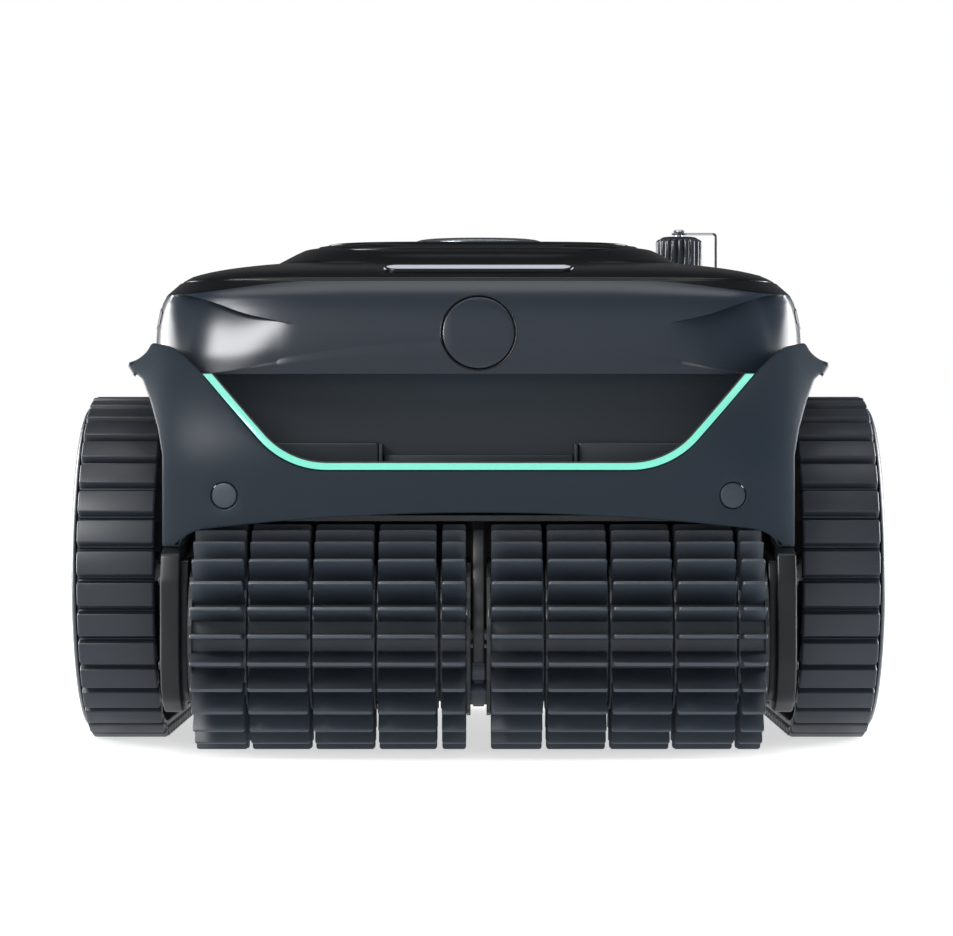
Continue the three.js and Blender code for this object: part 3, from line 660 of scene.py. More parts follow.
SHELL_LIP = 198.2
SCOOP_DEPTH = 5.6
LEDGE_DEPTH = 0.6
BUTTON_FACE_Z = 220.2
BUTTON_HOLE = 20.0
BUTTON_RADIUS = 19.15

LOW_LINE = curve([(0, 215.2), (22, 214.8), (46, 213.8), (70, 211.2), (94, 207.6),
                  (102, 206.0), (125, 201.4), (135, 199.6), (150, 198.4), (180, 198.2)])
BROW_LINE = curve([(0, 219.8), (21, 219.9), (59, 220.6), (77, 221.8), (99, 224.5),
                   (112, 227.0), (125, 230.0), (143, 236.0), (163, 241.0), (180, 241.6)])
SIDE_LINE = curve([(197, 176), (212, 178), (226, 177.4), (236, 175.4), (241.6, 173.2),
                   (249, 165.8)])
FRONT_LINE = curve([(197, 176), (212, 177.6), (226, 176.4), (236, 174.2), (244, 170.6),
                    (249, 166.2)])


def shell_radius(z, front):
    return SIDE_LINE(z) * (1 - front) + FRONT_LINE(z) * front


def on_plan(r, z, ux, uy):
    """A point of the body's plan at size r and height z."""
    y = uy * r * BODY_B / BODY_A
    lean = 1 - BODY_RAKE * (z - SHELL_BOTTOM) / BODY_B
    return ux * r, np.where(y < 0, y * lean, y) + BODY_Y


def shell_front_y(x, z):
    front = 1.0
    r = shell_radius(z, front)
    uy = -(1 - np.clip(np.abs(x) / r, 0, 1) ** BODY_N) ** (1 / BODY_N)
    return on_plan(r, z, x / r, uy)[1]


def shell_skin():
    """The shell as one loop of rings: outside, top rim, inside and foot."""
    ux, uy = oval_plan(560, BODY_N, BODY_A, BODY_B)
    wide = np.abs(ux) * BODY_A
    ahead = (uy < 0).astype(float)
    front = ahead * (1 - smooth(60, 150, wide))
    low = np.where(ahead > 0, LOW_LINE(wide), 198.2)
    brow = np.where(ahead > 0, BROW_LINE(wide), 241.6)
    ledge = ahead * LEDGE_DEPTH * smooth(14, 26, wide) * (1 - smooth(126, 150, wide))
    low = np.maximum(low, SHELL_LIP + 0.5)
    scoop = ahead * SCOOP_DEPTH * smooth(96, 138, wide) * (1 - smooth(157, 173, wide))
    steps = [("a", t) for t in np.linspace(0, 1, 6)[:-1]]
    steps += [("b", t) for t in np.linspace(0, 1, 16)]
    steps += [("c", t) for t in (0.5, 1.0)]
    steps += [("d", t) for t in np.linspace(0, 1, 12)[1:]]
    outer = []
    for part, t in steps:
        if part == "a":
            z, deep = SHELL_LIP + (low - SHELL_LIP) * t, 0 * scoop
        elif part == "b":
            z = low + 0.3 + (brow - low - 0.3) * t
            deep = 0.4 * np.minimum(1, scoop) + (scoop - 0.4 * np.minimum(1, scoop)) * t
            deep = deep + ledge * (1 - t) ** 1.5
        elif part == "c":
            z, deep = brow + 0.5 * t, scoop * (1 - 0.93 * t)
        else:
            z, deep = brow + 0.5 + (248.9 - brow - 0.5) * t, 0.07 * scoop * (1 - t)
        r = shell_radius(z, front) - deep
        x, y = on_plan(r, z, ux, uy)
        outer.append(np.stack([x, y, z], 1))
    rim = []
    for drop, depth in ((0.1, 0.9), (0.9, 1.9)):
        z = np.full(len(ux), 249.0 - drop * 0.6 + 0.05)
        x, y = on_plan(shell_radius(np.full(len(ux), 249.0), front) - depth, z, ux, uy)
        rim.append(np.stack([x, y, z], 1))
    inner = shell_inside(ux, uy, front, scoop)
    return loft(outer + rim + inner, loop=True)


def shell_inside(ux, uy, front, scoop):
    """The shell's inner wall from the top down, and the foot that closes it."""
    inner = []
    for z0 in np.linspace(246.4, SHELL_LIP + 0.6, 12):
        z = np.full(len(ux), z0)
        take = 3.2 + (scoop > 0.5) * 5.2
        x, y = on_plan(shell_radius(z, front) - take, z, ux, uy)
        inner.append(np.stack([x, y, z], 1))
    z = np.full(len(ux), SHELL_LIP - 0.15)
    for depth in (2.0, 0.7):
        x, y = on_plan(shell_radius(z, front) - depth, z, ux, uy)
        inner.append(np.stack([x, y, z], 1))
    return inner


def upper_shell():
    shell = piece("upper_shell_skin", shell_skin(), SLATE, "chassis",
                  ["upper_shell"], 30)
    cut(shell, prism(circle(BUTTON_HOLE, 96, (0, BUTTON_FACE_Z)), -175, -130, "y", 0.01, 1), 30)
    button()
    side_trims()
    cover_skirt()


def button():
    """The round button's face and a fine black ring round it, painted shade for the shadowed
    gap.
    """
    ring = []
    for k in range(96):
        a = 2 * math.pi * k / 96
        for b in range(8):
            t = 2 * math.pi * b / 8
            r = 20.15 + 0.45 * math.cos(t)
            x, z = r * math.cos(a), BUTTON_FACE_Z + r * math.sin(a)
            ring.append((x, float(shell_front_y(x, z)) + 0.28 + 0.45 * math.sin(t), z))
    gap_shade_ring = loft(np.array(ring).reshape(96, 8, 3), loop=True)
    # A black ring on the shell: painted shade where the gap round the button lies in shadow.
    piece("button_gap_shade_ring", gap_shade_ring, BLACK, "chassis", (), 60)
    face = plate(circle(BUTTON_RADIUS, 96, (0, BUTTON_FACE_Z)), [],
                 lambda x, z: -shell_front_y(x, z) - 1.05,
                 lambda x, z: -shell_front_y(x, z) - 0.1, "y", edge=0.8, spacing=3.5)
    piece("button_face", forward(face), SLATE, "power_button",
          ["power_button"], 30)


def cover_skirt():
    """The cover's thin black skirt, which drops over the shell's corners."""
    ux, uy = oval_plan(560, BODY_N, BODY_A, BODY_B)
    rings = []
    for px, py in zip(ux, uy):
        front = (1 - smooth(60, 150, abs(px) * BODY_A)) if py < 0 else 0.0
        drop = smooth(96, 166, abs(px) * BODY_A) if py < 0 else 1.0
        low = 248.4 - 6.0 * float(drop)
        ring = []
        for t, out in [(k / 6, 0.32) for k in range(7)] + [(1 - k / 3, -0.7) for k in range(4)]:
            z = low + (249.1 - low) * t
            x, y = on_plan(shell_radius(z, front) + out, z, px, np.array(py))
            ring.append((float(x), float(y), z))
        rings.append(ring)
    piece("cover_skirt_band", loft(rings, loop=True), BLACK, "chassis", (), 30)


def side_trims():
    """A slim black inlay on each side of the shell, following its plan."""
    ux, uy = oval_plan(560, BODY_N, BODY_A, BODY_B)
    take = (ux > 0) & (uy > -0.74) & (uy < -0.2)
    order = np.argsort(uy[take])
    ux, uy = ux[take][order], uy[take][order]
    rings = []
    for k, (px, py) in enumerate(zip(ux, uy)):
        end = min(k, len(ux) - 1 - k)
        half = 5.8 * min(1.0, 0.55 + 0.1 * end)
        ring = []
        for dz, out in ((-1, -0.8), (-1, 0.1), (-0.9, 0.45), (0.9, 0.45), (1, 0.1), (1, -0.8)):
            z = 230.0 + dz * half
            x, y = on_plan(SIDE_LINE(z) + out, z, px, np.array(py))
            ring.append((float(x), float(y), z))
        rings.append(ring)
    piece("shell_side_trims", both_sides(loft(rings)), BLACK_SATIN, "chassis",
          (), 30)


# ------------------------------------------------------ top cover and lid

DECK = curve([(0, 263.0), (60, 262.8), (110, 261.7), (135, 258.8), (155, 254.6),
              (162, 252.0), (164.8, 249.9)])
LID_TOP = curve([(0, 277.0), (35, 276.1), (70, 273.9), (87, 272.4), (93.5, 271.2),
                 (96, 269.0)])


def deck_radius(x, y):
    local = np.asarray(y, float) - BODY_Y
    local = np.where(local < 0, local / (1 - BODY_RAKE * 58 / BODY_B), local)
    return BODY_A * ((np.abs(x) / BODY_A) ** 6 + (np.abs(local) / BODY_B) ** 6) ** (1 / 6)


def deck_z(x, y):
    return DECK(deck_radius(x, y))


def lid_ring(r):
    ux, uy = oval_plan(160, 4.0, 96, 77)
    return np.stack([ux * r, uy * r * 77 / 96 + LID_Y], 1)


def lid_z(x, y):
    local = np.asarray(y, float) - LID_Y
    size = 96 * ((np.abs(x) / 96) ** 4 + (np.abs(local) / 77) ** 4) ** 0.25
    return LID_TOP(size)


def top_cover():
    ux, uy = oval_plan(360, BODY_N, BODY_A, BODY_B)
    x, y = on_plan(164.7, 252.0, ux, uy)
    outline = np.stack([x, y], 1)
    holes = [lid_ring(92.2), circle(30.2, 64, (0, OUTLET_Y)), circle(11.9, 40, (CAP_X, CAP_Y)),
             stadium(-LENS_HALF, LENS_HALF, LENS_Y, 6.6)]
    deck = plate(outline, holes, lambda x, y: deck_z(x, y) - 2.8, deck_z, "z",
                 edge=0.9, spacing=5.0)
    ridge = []
    for r, z, rear in ((96.6, 260.5, 260.5), (96.6, 269.3, 266.2), (96.9, 270.0, 266.9),
                       (97.8, 270.2, 267.1), (99.0, 269.9, 266.8), (103.0, 268.0, 265.0),
                       (108.5, 265.0, 262.9), (112.5, 262.8, 261.6), (115.5, 261.2, 260.9),
                       (116.5, 259.9, 259.9)):
        ring = lid_ring(r - 0.42 * max(0, r - 97))
        wide = lid_ring(r)
        back = np.maximum(smooth(20, 56, wide[:, 1]), 1 - smooth(50, 88, np.abs(wide[:, 0])))
        back = back[:, None]
        ring = wide * (1 - back) + ring * back
        ridge.append(np.column_stack([ring, z * (1 - back[:, 0]) + rear * back[:, 0]]))
    ears = []
    for x0 in (21.3, 25.6):
        ear = fillet([(67.8, 262.0), (82.0, 261.5), (79.0, 270.5), (75.0, 274.3),
                      (71.0, 270.5)], [0, 0, 4, 4, 4], 5)
        ears.append(both_sides(prism(ear, x0, x0 + 3.2, "x", 0.6)))
    port = lathe(fillet([(12.0, 262.0), (16.8, 262.0), (16.8, 264.0), (12.0, 264.0)],
                        0.7, 3), (CAP_X, CAP_Y, 0), "z", 72)
    piece("top_cover_skin", join([deck, loft(ridge, loop=True), port] + ears),
          BLACK, "chassis",
          ["top_cover"], 32)
    vents = []
    for row in range(5):
        for side in (-1, 1):
            bar = box_outline(side * 70 - 21, 101 + row * 8, side * 70 + 21,
                              103.4 + row * 8, 1.1, 3)
            vents.append(plate(bar, [], lambda x, y: deck_z(x, y) - 1.0,
                               lambda x, y: deck_z(x, y) + 0.5, "z", 0.4, 0, 2))
    piece("deck_grip_ribs", join(vents), BLACK_SATIN, "chassis", (), 40)


def lens_bar():
    def bar(grow, low, high, name, look, slot, nodes, holes=(), edge=0.5):
        outline = spaced(stadium(-LENS_HALF, LENS_HALF, LENS_Y, 6.2 + grow, 14), 3.0)
        shape = plate(outline, holes, lambda x, y: deck_z(x, y) + low,
                      lambda x, y: deck_z(x, y) + high, "z", edge, 3.0)
        return piece(name, shape, look, "chassis", nodes, 35)

    bar(-0.7, -2.0, 0.9, "status_lens_bar", LENS, "lens_white", ["status_light_lens"])
    hole = stadium(-LENS_HALF, LENS_HALF, LENS_Y, 5.7, 14)
    bar(1.1, -1.8, 1.2, "status_lens_frame", BLACK, "cover_black", (), [hole], 0.4)


def lid():
    shell = plate(lid_ring(95.9), [], lambda x, y: lid_z(x, y) - 2.4, lid_z, "z",
                  edge=0.5, spacing=5.0)
    barrel = lathe(fillet([(2.4, -19.8), (4.0, -19.8), (4.0, 19.8), (2.4, 19.8)], 0.6, 3),
                   (0, 75, 270.5), "x", 40)
    ribs = []
    for x in (-60, -30, 0, 30, 60):
        bar = box_outline(x - 1.1, -62, x + 1.1, 44, 0.8, 3)
        ribs.append(plate(bar, [], lambda x, y: lid_z(x, y) - 5.5,
                          lambda x, y: lid_z(x, y) - 2.0, "z", 0.3, 8, 2))
    groove = []
    for r, up in ((84.6, -0.5), (84.6, 0.5), (85.3, 0.8), (86.0, 0.5), (86.0, -0.5)):
        ring = lid_ring(r)
        groove.append(np.column_stack([ring, lid_z(ring[:, 0], ring[:, 1]) + up]))
    knuckles = []
    for x0, x1 in ((-19, -9), (9, 19)):
        arm = box_outline(x0, 62, x1, 74.5, 1.2, 3)
        knuckles.append(plate(arm, [], 268.6, 272.4, "z", 0.8, 0, 3, 0.8))
    piece("filter_lid_skin", join([shell, barrel, loft(groove, loop=True)] + knuckles + ribs),
          BLACK, "lid", ["filter_lid"], 32)
    rings = []
    for grow, z in ((-2.0, 275.2), (0, 275.3), (0, 276.4), (-0.4, 277.2), (-1.4, 277.9),
                    (-3.4, 278.5), (-6.4, 278.9), (-7.2, 278.6), (-8.0, 278.5),
                    (-12, 278.8), (-18, 279.1)):
        a = np.arange(120) * 2 * math.pi / 120
        ring = np.stack([(36.6 + grow) * np.cos(a), LID_Y + (25.8 + grow) * np.sin(a)], 1)
        rings.append(np.column_stack([ring, np.full(120, z)]))
    piece("lid_oval_plate_skin", loft(rings), SILVER, "lid",
          ["lid_oval_plate"], 40)


def charging_cap():
    flutes, per = 20, 8
    a = np.arange(flutes * per) * 2 * math.pi / (flutes * per)
    wave = np.abs(np.cos(a * flutes / 2)) ** 0.6
    rings = []
    for r, deep, z in ((11.2, 0, 265.3), (13.4, 0.0, 265.3), (13.9, 0.0, 265.9),
                       (13.9, 0.0, 267.2), (13.4, 0.2, 267.8), (13.6, 1.3, 268.6),
                       (13.7, 1.5, 275.0), (13.7, 1.5, 281.6), (13.3, 1.3, 282.6),
                       (12.4, 0.5, 283.3), (11.2, 0, 283.7), (10.6, 0, 284.3),
                       (9.4, 0, 284.8), (5.0, 0, 285.0), (4.4, 0, 285.1)):
        radius = r - deep + deep * wave
        ring = np.stack([CAP_X + radius * np.cos(a), CAP_Y + radius * np.sin(a)], 1)
        rings.append(np.column_stack([ring, np.full(len(a), z)]))
    skirt = loft(rings)
    piece("charging_cap_skin", skirt, SLATE, "charging_cap",
          ["charging_cap"], 45)
    rivet = lathe([(0.05, 285.3), (2.0, 285.3), (2.0, 287.6), (3.3, 287.7), (3.5, 288.1),
                   (3.1, 288.8), (2.0, 289.2), (0.05, 289.3)], (CAP_X, CAP_Y, 0), "z", 40,
                  closed=False)
    piece("cap_rivet_head", rivet, STEEL, "charging_cap", ["cap_rivet"], 40)
    path = fillet([(122.6, 286.2), (139.6, 286.2), (139.6, 259.6), (140.9, 259.6),
                   (140.9, 287.4), (122.6, 287.4)], [0.2, 1.2, 0.3, 0.3, 2.2, 0.2], 5)
    strap = plate(path, [], -61.3, -58.7, "y", 0.3, 0, 2, 0.3)
    strap[0][:, 1] *= -1
    eye = lathe(fillet([(2.3, 286.2), (4.4, 286.2), (4.4, 287.4), (2.3, 287.4)], 0.4, 3),
                (CAP_X, CAP_Y, 0), "z", 40)
    foot = lathe(fillet([(0.05, 258.6), (2.9, 258.6), (2.9, 260.4), (0.05, 261.6)],
                        [0, 0.6, 0.8, 0], 3), (138.0, 60, 0), "z", 24)
    piece("cap_tether_strap", join([strap, eye, foot]), RUBBER, "chassis",
          ["cap_tether"], 40)


# ---------------------------------------------------------------- recess

def recess():
    """The pocket behind the front panel, with its stepped back wall."""
    floor = plate(box_outline(-147, -191, 147, -121, 4, 4), [],
                  lambda x, y: 144.8 + 0 * x, lambda x, y: 147.0 + 0 * x, "z", 0.4, 0)
    points = floor[0].copy()
    limit = bumper_y(points[:, 0], np.minimum(points[:, 2], 150)) + 3.6
    points[:, 1] = np.maximum(points[:, 1], limit)
    back = plate(spaced(box_outline(-147, 145, 147, 200.2, 4, 4), 8), [],
                 lambda x, z: 121.0 + 0 * x, lambda x, z: 123.4 + 0.9 * (x / 147) ** 2,
                 "y", 0.6, 10)
    wall = back[0].copy()
    wall[:, 1] *= -1
    steps = []
    for side in (-1, 1):
        x0, x1 = sorted((side * 53.2, side * 138.0))
        block = fillet([(x0, 147), (x1, 147), (x1, 162.4), (x0, 162.4)],
                       [0, 0, 2, 1.4], 4)
        steps.append(prism(block, -139.0, -122.0, "y", 1.1))
        x0, x1 = sorted((side * 51.0, side * 53.0))
        tab = fillet([(x0, 147), (x1, 147), (x1, 161.4), (x0, 161.4)], 0.6, 3)
        steps.append(prism(tab, -142.0, -123.0, "y", 0.5))
    lower = fillet([(-50.6, 147), (50.6, 147), (50.6, 155.8), (-50.6, 155.8)],
                   [0, 0, 1, 1], 4)
    steps.append(prism(lower, -137.0, -122.0, "y", 0.9))
    sides = []
    for side in (-1, 1):
        strip = []
        for t in np.linspace(0, 1, 12):
            ring = []
            for x, z in ((149.3, 145.0), (149.3, 188.0), (147.0, 188.0), (147.0, 145.0)):
                front = float(bumper_y(x, z)) + 4.0
                ring.append((side * x, -122 + (front + 122) * t, z))
            strip.append(ring)
        sides.append(loft(strip))
    # The liner's lighter grained slate is painted light that lifts the pocket's shade.
    piece("recess_liner", join([(points, floor[1]), (wall, back[1])] + steps + sides),
          SLATE_GRAIN_PAINTED_LIGHT, "chassis", ["recess_panel"], 32)


# ---------------------------------------------------------------- tracks

def track_place(run):
    """Where a run along the track's loop lies: y, z and its outward turn."""
    straight = REAR_WHEEL_Y - FRONT_WHEEL_Y
    arc = math.pi * TRACK_ROOT
    run = run % (2 * straight + 2 * arc)
    low, high = WHEEL_Z - TRACK_ROOT, WHEEL_Z + TRACK_ROOT
    if run < straight:
        return FRONT_WHEEL_Y + run, low, -math.pi / 2
    run -= straight
    if run < arc:
        a = -math.pi / 2 + run / TRACK_ROOT
        return (REAR_WHEEL_Y + TRACK_ROOT * math.cos(a),
                WHEEL_Z + TRACK_ROOT * math.sin(a), a)
    run -= arc
    if run < straight:
        return REAR_WHEEL_Y - run, high, math.pi / 2
    run -= straight
    a = math.pi / 2 + run / TRACK_ROOT
    return FRONT_WHEEL_Y + TRACK_ROOT * math.cos(a), WHEEL_Z + TRACK_ROOT * math.sin(a), a


def track_lug():
    """One lug: a broad bar with a stepped shoulder; u is along the loop, v outward."""
    outline = fillet([(-7.9, -1.4), (7.9, -1.4), (7.8, 0.8), (7.1, 1.2), (6.5, 4.8),
                      (-5.6, 5.5), (-6.8, 1.2), (-7.8, 0.8)],
                     [0, 0, 0.3, 0.4, 0.8, 0.8, 0.4, 0.3], 3)
    return prism(outline, 170.6, 211.8, "x", 1.7, 4)


def track(name, side):
    total = 2 * (REAR_WHEEL_Y - FRONT_WHEEL_Y) + 2 * math.pi * TRACK_ROOT
    lug = track_lug()
    start = 25 - FRONT_WHEEL_Y
    shapes = []
    for k in range(LUG_COUNT):
        y, z, out = track_place(start + total * k / LUG_COUNT)
        shapes.append(moved(lug, (0, y, z), out - math.pi / 2, "x"))
    section = fillet([(171.4, -4.0), (212.0, -4.0), (212.0, 0.2), (171.4, 0.2)], 1.0, 3)
    rings = []
    for k in range(LUG_COUNT * 6):
        y, z, out = track_place(start + total * k / (LUG_COUNT * 6))
        dip = -0.9 if k % 6 == 3 else 0.0
        ring = [(x, y + (h + (dip if h > 0 else 0)) * math.cos(out),
                 z + (h + (dip if h > 0 else 0)) * math.sin(out)) for x, h in section]
        rings.append(ring)
    shapes.append(loft(rings, loop=True))
    shape = join(shapes)
    piece(f"track_tread_{name}", shape if side > 0 else mirrored(shape), TREAD, "chassis",
          [f"track_{name}"], 34)


def track_cover(name, side):
    """The outer cover: rolled rim, dished panel, hub caps and cooling slots."""
    rings = []
    for r, x in ((60.0, 212.6), (87.6, 212.6), (88.4, 212.8), (88.5, 213.2), (88.0, 213.9),
                 (86.8, 214.7), (85.0, 215.3), (83.0, 215.5), (81.4, 215.4), (80.4, 214.9),
                 (79.6, 214.3), (78.4, 214.0), (60.0, 214.0), (57.0, 214.1), (56.2, 214.5),
                 (55.0, 214.8), (40.0, 214.8)):
        p = capsule(r, FRONT_WHEEL_Y, REAR_WHEEL_Y, WHEEL_Z)
        rings.append(np.column_stack([np.full(len(p), x), p]))
    shapes = [loft(rings)]
    for y in (FRONT_WHEEL_Y, REAR_WHEEL_Y):
        cap = [(0.05, 214.2), (22.0, 214.2), (22.0, 214.9), (21.2, 215.4), (17.0, 215.45),
               (16.2, 215.0), (12.0, 215.0), (11.2, 215.4), (0.05, 215.45)]
        shapes.append(lathe(cap, (0, y, WHEEL_Z), "x", 72, closed=False))
        for k in range(6):
            a = math.pi / 6 + k * math.pi / 3
            screw = lathe([(0.05, 214.2), (1.7, 214.2), (1.7, 215.2), (1.4, 215.45),
                           (0.05, 215.3)],
                          (0, y + 29 * math.cos(a), WHEEL_Z + 29 * math.sin(a)), "x", 20,
                          closed=False)
            shapes.append(screw)
    for k in range(7):
        y = 25 + (k - 3) * 12
        bar = prism(box_outline(y - 2.2, 68, y + 2.2, 120, 2.1, 4), 214.2, 215.4, "x", 0.4, 2)
        shapes.append(bar)
    shape = join(shapes)
    piece(f"track_cover_panel_{name}", shape if side > 0 else mirrored(shape), SLATE,
          "chassis", [f"track_cover_{name}"], 30)


# --------------------------------------------------------------- rollers

ROLLER_CUTS = {
    "left": ((-147.3, -120.5), (-118.0, -87.3), (-84.8, -54.2), (-51.7, -21.7), (-18.9, -6.5)),
    "right": ((6.5, 33.0), (35.5, 66.1), (68.7, 99.3), (101.9, 132.4), (134.9, 147.3)),
}
BLADE_PHASE = math.radians(-2.7)


def brush_blade(x0, x1):
    """One blade of one segment, standing along v from the sleeve."""
    outline = spaced(fillet([(x0, 36.6), (x1, 36.6), (x1, 59.3), (x0, 59.3)],
                            [0.5, 0.5, 1.4, 1.4], 4), 7)
    points, faces = prism(outline, -1.1, 1.1, "y", 0.4, 2)
    taper = 1.4 - 0.5 * (points[:, 2] - 36.6) / 22.7
    points = points.copy()
    points[:, 1] *= taper
    return points, faces


def roller(name):
    cuts = ROLLER_CUTS[name]
    shapes = []
    for x0, x1 in cuts:
        blade = brush_blade(x0, x1)
        for k in range(BLADE_COUNT):
            a = BLADE_PHASE - math.pi / 2 + k * 2 * math.pi / BLADE_COUNT
            turned = moved(blade, (0, 0, 0), a + math.pi, "x")
            shapes.append(moved(turned, (0, ROLLER_Y, ROLLER_Z)))
        sleeve = fillet([(35.2, x0 - 0.9), (38.0, x0 - 0.9), (38.0, x1 + 0.9),
                         (35.2, x1 + 0.9)], 0.6, 3)
        sleeve[:, 1] = np.clip(sleeve[:, 1], min(cuts[0][0], cuts[-1][0]), cuts[-1][1])
        shapes.append(lathe(sleeve, (0, ROLLER_Y, ROLLER_Z), "x", 72))
    piece(f"roller_brush_fins_{name}", join(shapes), RUBBER, f"roller_{name}",
          [f"roller_brush_{name}"], 34)
    rims = []
    for x in (cuts[0][0] - 0.9, cuts[-1][1] + 0.9):
        flange = fillet([(30.0, x - 0.8), (41.0, x - 0.8), (41.0, x + 0.8), (30.0, x + 0.8)],
                        0.5, 3)
        rims.append(lathe(flange, (0, ROLLER_Y, ROLLER_Z), "x", 80))
    piece(f"roller_end_rims_{name}", join(rims), SLATE, f"roller_{name}",
          (), 40)


# -------------------------------------------------------------- brackets

BRACKET_FRONT = fillet([(-184.0, 106.8), (-193.5, 104.0), (-196.5, 90.0), (-196.5, 48.0),
                        (-191.0, 29.0), (-174.0, 20.6), (-152.0, 21.0), (-62.0, 64.0),
                        (-41.5, 84.0), (-41.5, 108.0), (-58.0, 122.0), (-120.0, 119.0),
                        (-150.0, 110.0)],
                       [1.0, 4, 16, 22, 14, 18, 22, 20, 14, 16, 14, 20, 12], 6)


def side_bracket(name, side):
    outline = spaced(BRACKET_FRONT, 7)
    body = prism(outline, 154.2, 164.4, "x", 1.4, 4)
    inner = prism(inset(outline, 5.5), 150.4, 155.0, "x", 0.8, 3)
    cover = prism(inset(outline, 6.5), 164.0, 165.2, "x", 0.7, 3)
    boss = lathe([(8.0, 149.4), (13.0, 149.4), (13.5, 149.9), (13.5, 151.0), (8.0, 151.0)],
                 (0, ROLLER_Y, ROLLER_Z), "x", 48)
    shapes = [body, inner, cover, boss]
    for y, z in ((-184, 90), (-184, 46), (-140, 42), (-128, 100), (-62, 106)):
        shapes.append(lathe([(0.05, 164.6), (2.6, 164.6), (2.6, 165.8), (2.1, 166.2),
                             (0.05, 166.0)], (0, y, z), "x", 24, closed=False))
    shape = join(shapes)
    piece(f"side_bracket_cover_{name}", shape if side > 0 else mirrored(shape),
          FRAME, "chassis", [f"side_bracket_{name}"], 32)


def center_bracket():
    outline = []
    for k in range(33):
        a = math.radians(170) + math.radians(200) * k / 32
        outline.append((ROLLER_Y + 36.8 * math.cos(a), ROLLER_Z + 36.8 * math.sin(a)))
    outline += [(-149.5, 108.0), (-152.0, 116.0), (-160.0, 122.3), (-170.0, 122.3),
                (-178.0, 116.0), (-180.5, 108.0)]
    hole = circle(6.8, 40, (ROLLER_Y, ROLLER_Z))
    wall = plate(spaced(outline, 5), [hole], -3.0, 3.0, "x", 0.8, 8, 3, 0.8)
    foot = prism(fillet([(-196.0, 33.0), (-186.0, 25.0), (-181.0, 30.0), (-192.0, 40.0)],
                        1.6, 3), -4.6, 4.6, "x", 0.7, 3)
    piece("center_bracket_arm", wall, DARK, "chassis",
          ["center_bracket"], 32)
    clip = lathe([(0.05, -3.4), (5.0, -3.4), (5.4, -3.0), (5.4, 3.0), (5.0, 3.4),
                  (0.05, 3.4)], (0, -196.5, 44.0), "x", 32, closed=False)
    piece("center_bracket_clip", join([foot, clip]), SLATE, "chassis",
          (), 40)


# ---------------------------------------------------- chassis and handle

TUB_Y = 45
TUB_HALF_X = 147
TUB_HALF_Y = 143
MOUTH = fillet([(-60.5, -64.5), (60.5, -64.5), (60.5, -39.5), (-60.5, -39.5)], 2.5, 4)


def tub_plan(r):
    ux, uy = oval_plan(320, BODY_N, TUB_HALF_X, TUB_HALF_Y)
    return np.stack([ux * r, TUB_Y + uy * r * TUB_HALF_Y / TUB_HALF_X], 1)


def tub_shell():
    """The tub's walls, its floor with the intake mouth, and the ledge round its top."""
    rings = []
    for r, z in ((139.0, 22.0), (143.0, 22.4), (145.6, 24.0), (146.9, 27.0), (147.0, 40.0),
                 (147.0, 158.0), (147.8, 159.0), (147.8, 164.0), (147.0, 165.0),
                 (147.0, 186.0), (147.0, 192.0), (147.0, 196.2),
                 (146.0, 196.5), (144.2, 196.2), (144.0, 190.0), (144.0, 60.0),
                 (143.6, 28.0), (142.0, 25.6), (138.0, 25.0)):
        plan = tub_plan(r)
        rings.append(np.column_stack([plan, np.full(len(plan), z)]))
    walls = loft(rings, ends=False)
    floor = plate(tub_plan(139), [MOUTH], -25.0, -22.0, "z", 0.2, 12, 1, 0.2)
    points = floor[0].copy()
    points[:, 2] *= -1
    x, y = on_plan(172.0, 194.0, *oval_plan(320, 6, 178, 175))
    outer = np.stack([x, np.maximum(y, -118.6)], 1)
    ledge = plate(thinned(outer, 0.8), [tub_plan(146.6)], 190.7, 196.3, "z", 0.9, 0, 3, 0.9)
    return [walls, (points, floor[1]), ledge]


def bottom_ribs():
    """Ribs under the tub and the raised frame round the intake mouth."""
    ribs = []
    for x in (-105, -75, 75, 105):
        ribs.append(prism(box_outline(x - 2, -70, x + 2, 160, 2, 3), 20.2, 23.0, "z", 0.8, 2))
    for y in (0, 60, 120):
        ribs.append(prism(box_outline(-120, y - 2, 120, y + 2, 2, 3), 20.4, 23.0, "z", 0.8, 2))
    frame_line = fillet([(-66, -70), (66, -70), (66, -34), (-66, -34)], 5, 5)
    ribs.append(plate(frame_line, [MOUTH], 19.4, 22.6, "z", 0.8, 0, 3, 0.8))
    return ribs


def side_fins():
    """Upright fins on both sides, left out where the rear wheel's axle passes."""
    fins = []
    for side in (-1, 1):
        for k in range(9):
            y = -40 + k * 20
            if abs(y - REAR_WHEEL_Y) < 15:
                continue
            fin = prism(box_outline(y - 1.2, 50, y + 1.2, 182, 1, 2), 146.2, 147.6, "x", 0.4, 2)
            fins.append(fin if side > 0 else mirrored(fin))
    return fins


def rear_ribs():
    """Upright ribs and four screw bosses on the rear wall."""
    ribs = []
    for k in range(11):
        x = (k - 5) * 15
        bar = box_outline(x - 1.7, 72, x + 1.7, 148, 1.6, 3)
        ribs.append(prism(bar, 185.2, 188.9, "y", 0.7, 2))
    boss = [(0.05, 183.0), (4.6, 183.0), (4.6, 187.6), (4.0, 188.2), (2.4, 188.2),
            (2.2, 187.4), (0.05, 187.4)]
    for x, z in ((-96, 66), (96, 66), (-96, 152), (96, 152)):
        ribs.append(lathe(boss, (x, 0, z), "y", 28, closed=False))
    return ribs


def chassis():
    shape = join(tub_shell() + bottom_ribs() + side_fins() + rear_ribs())
    piece("chassis_tub", shape, DARK, "chassis", ["bottom_chassis"], 32)


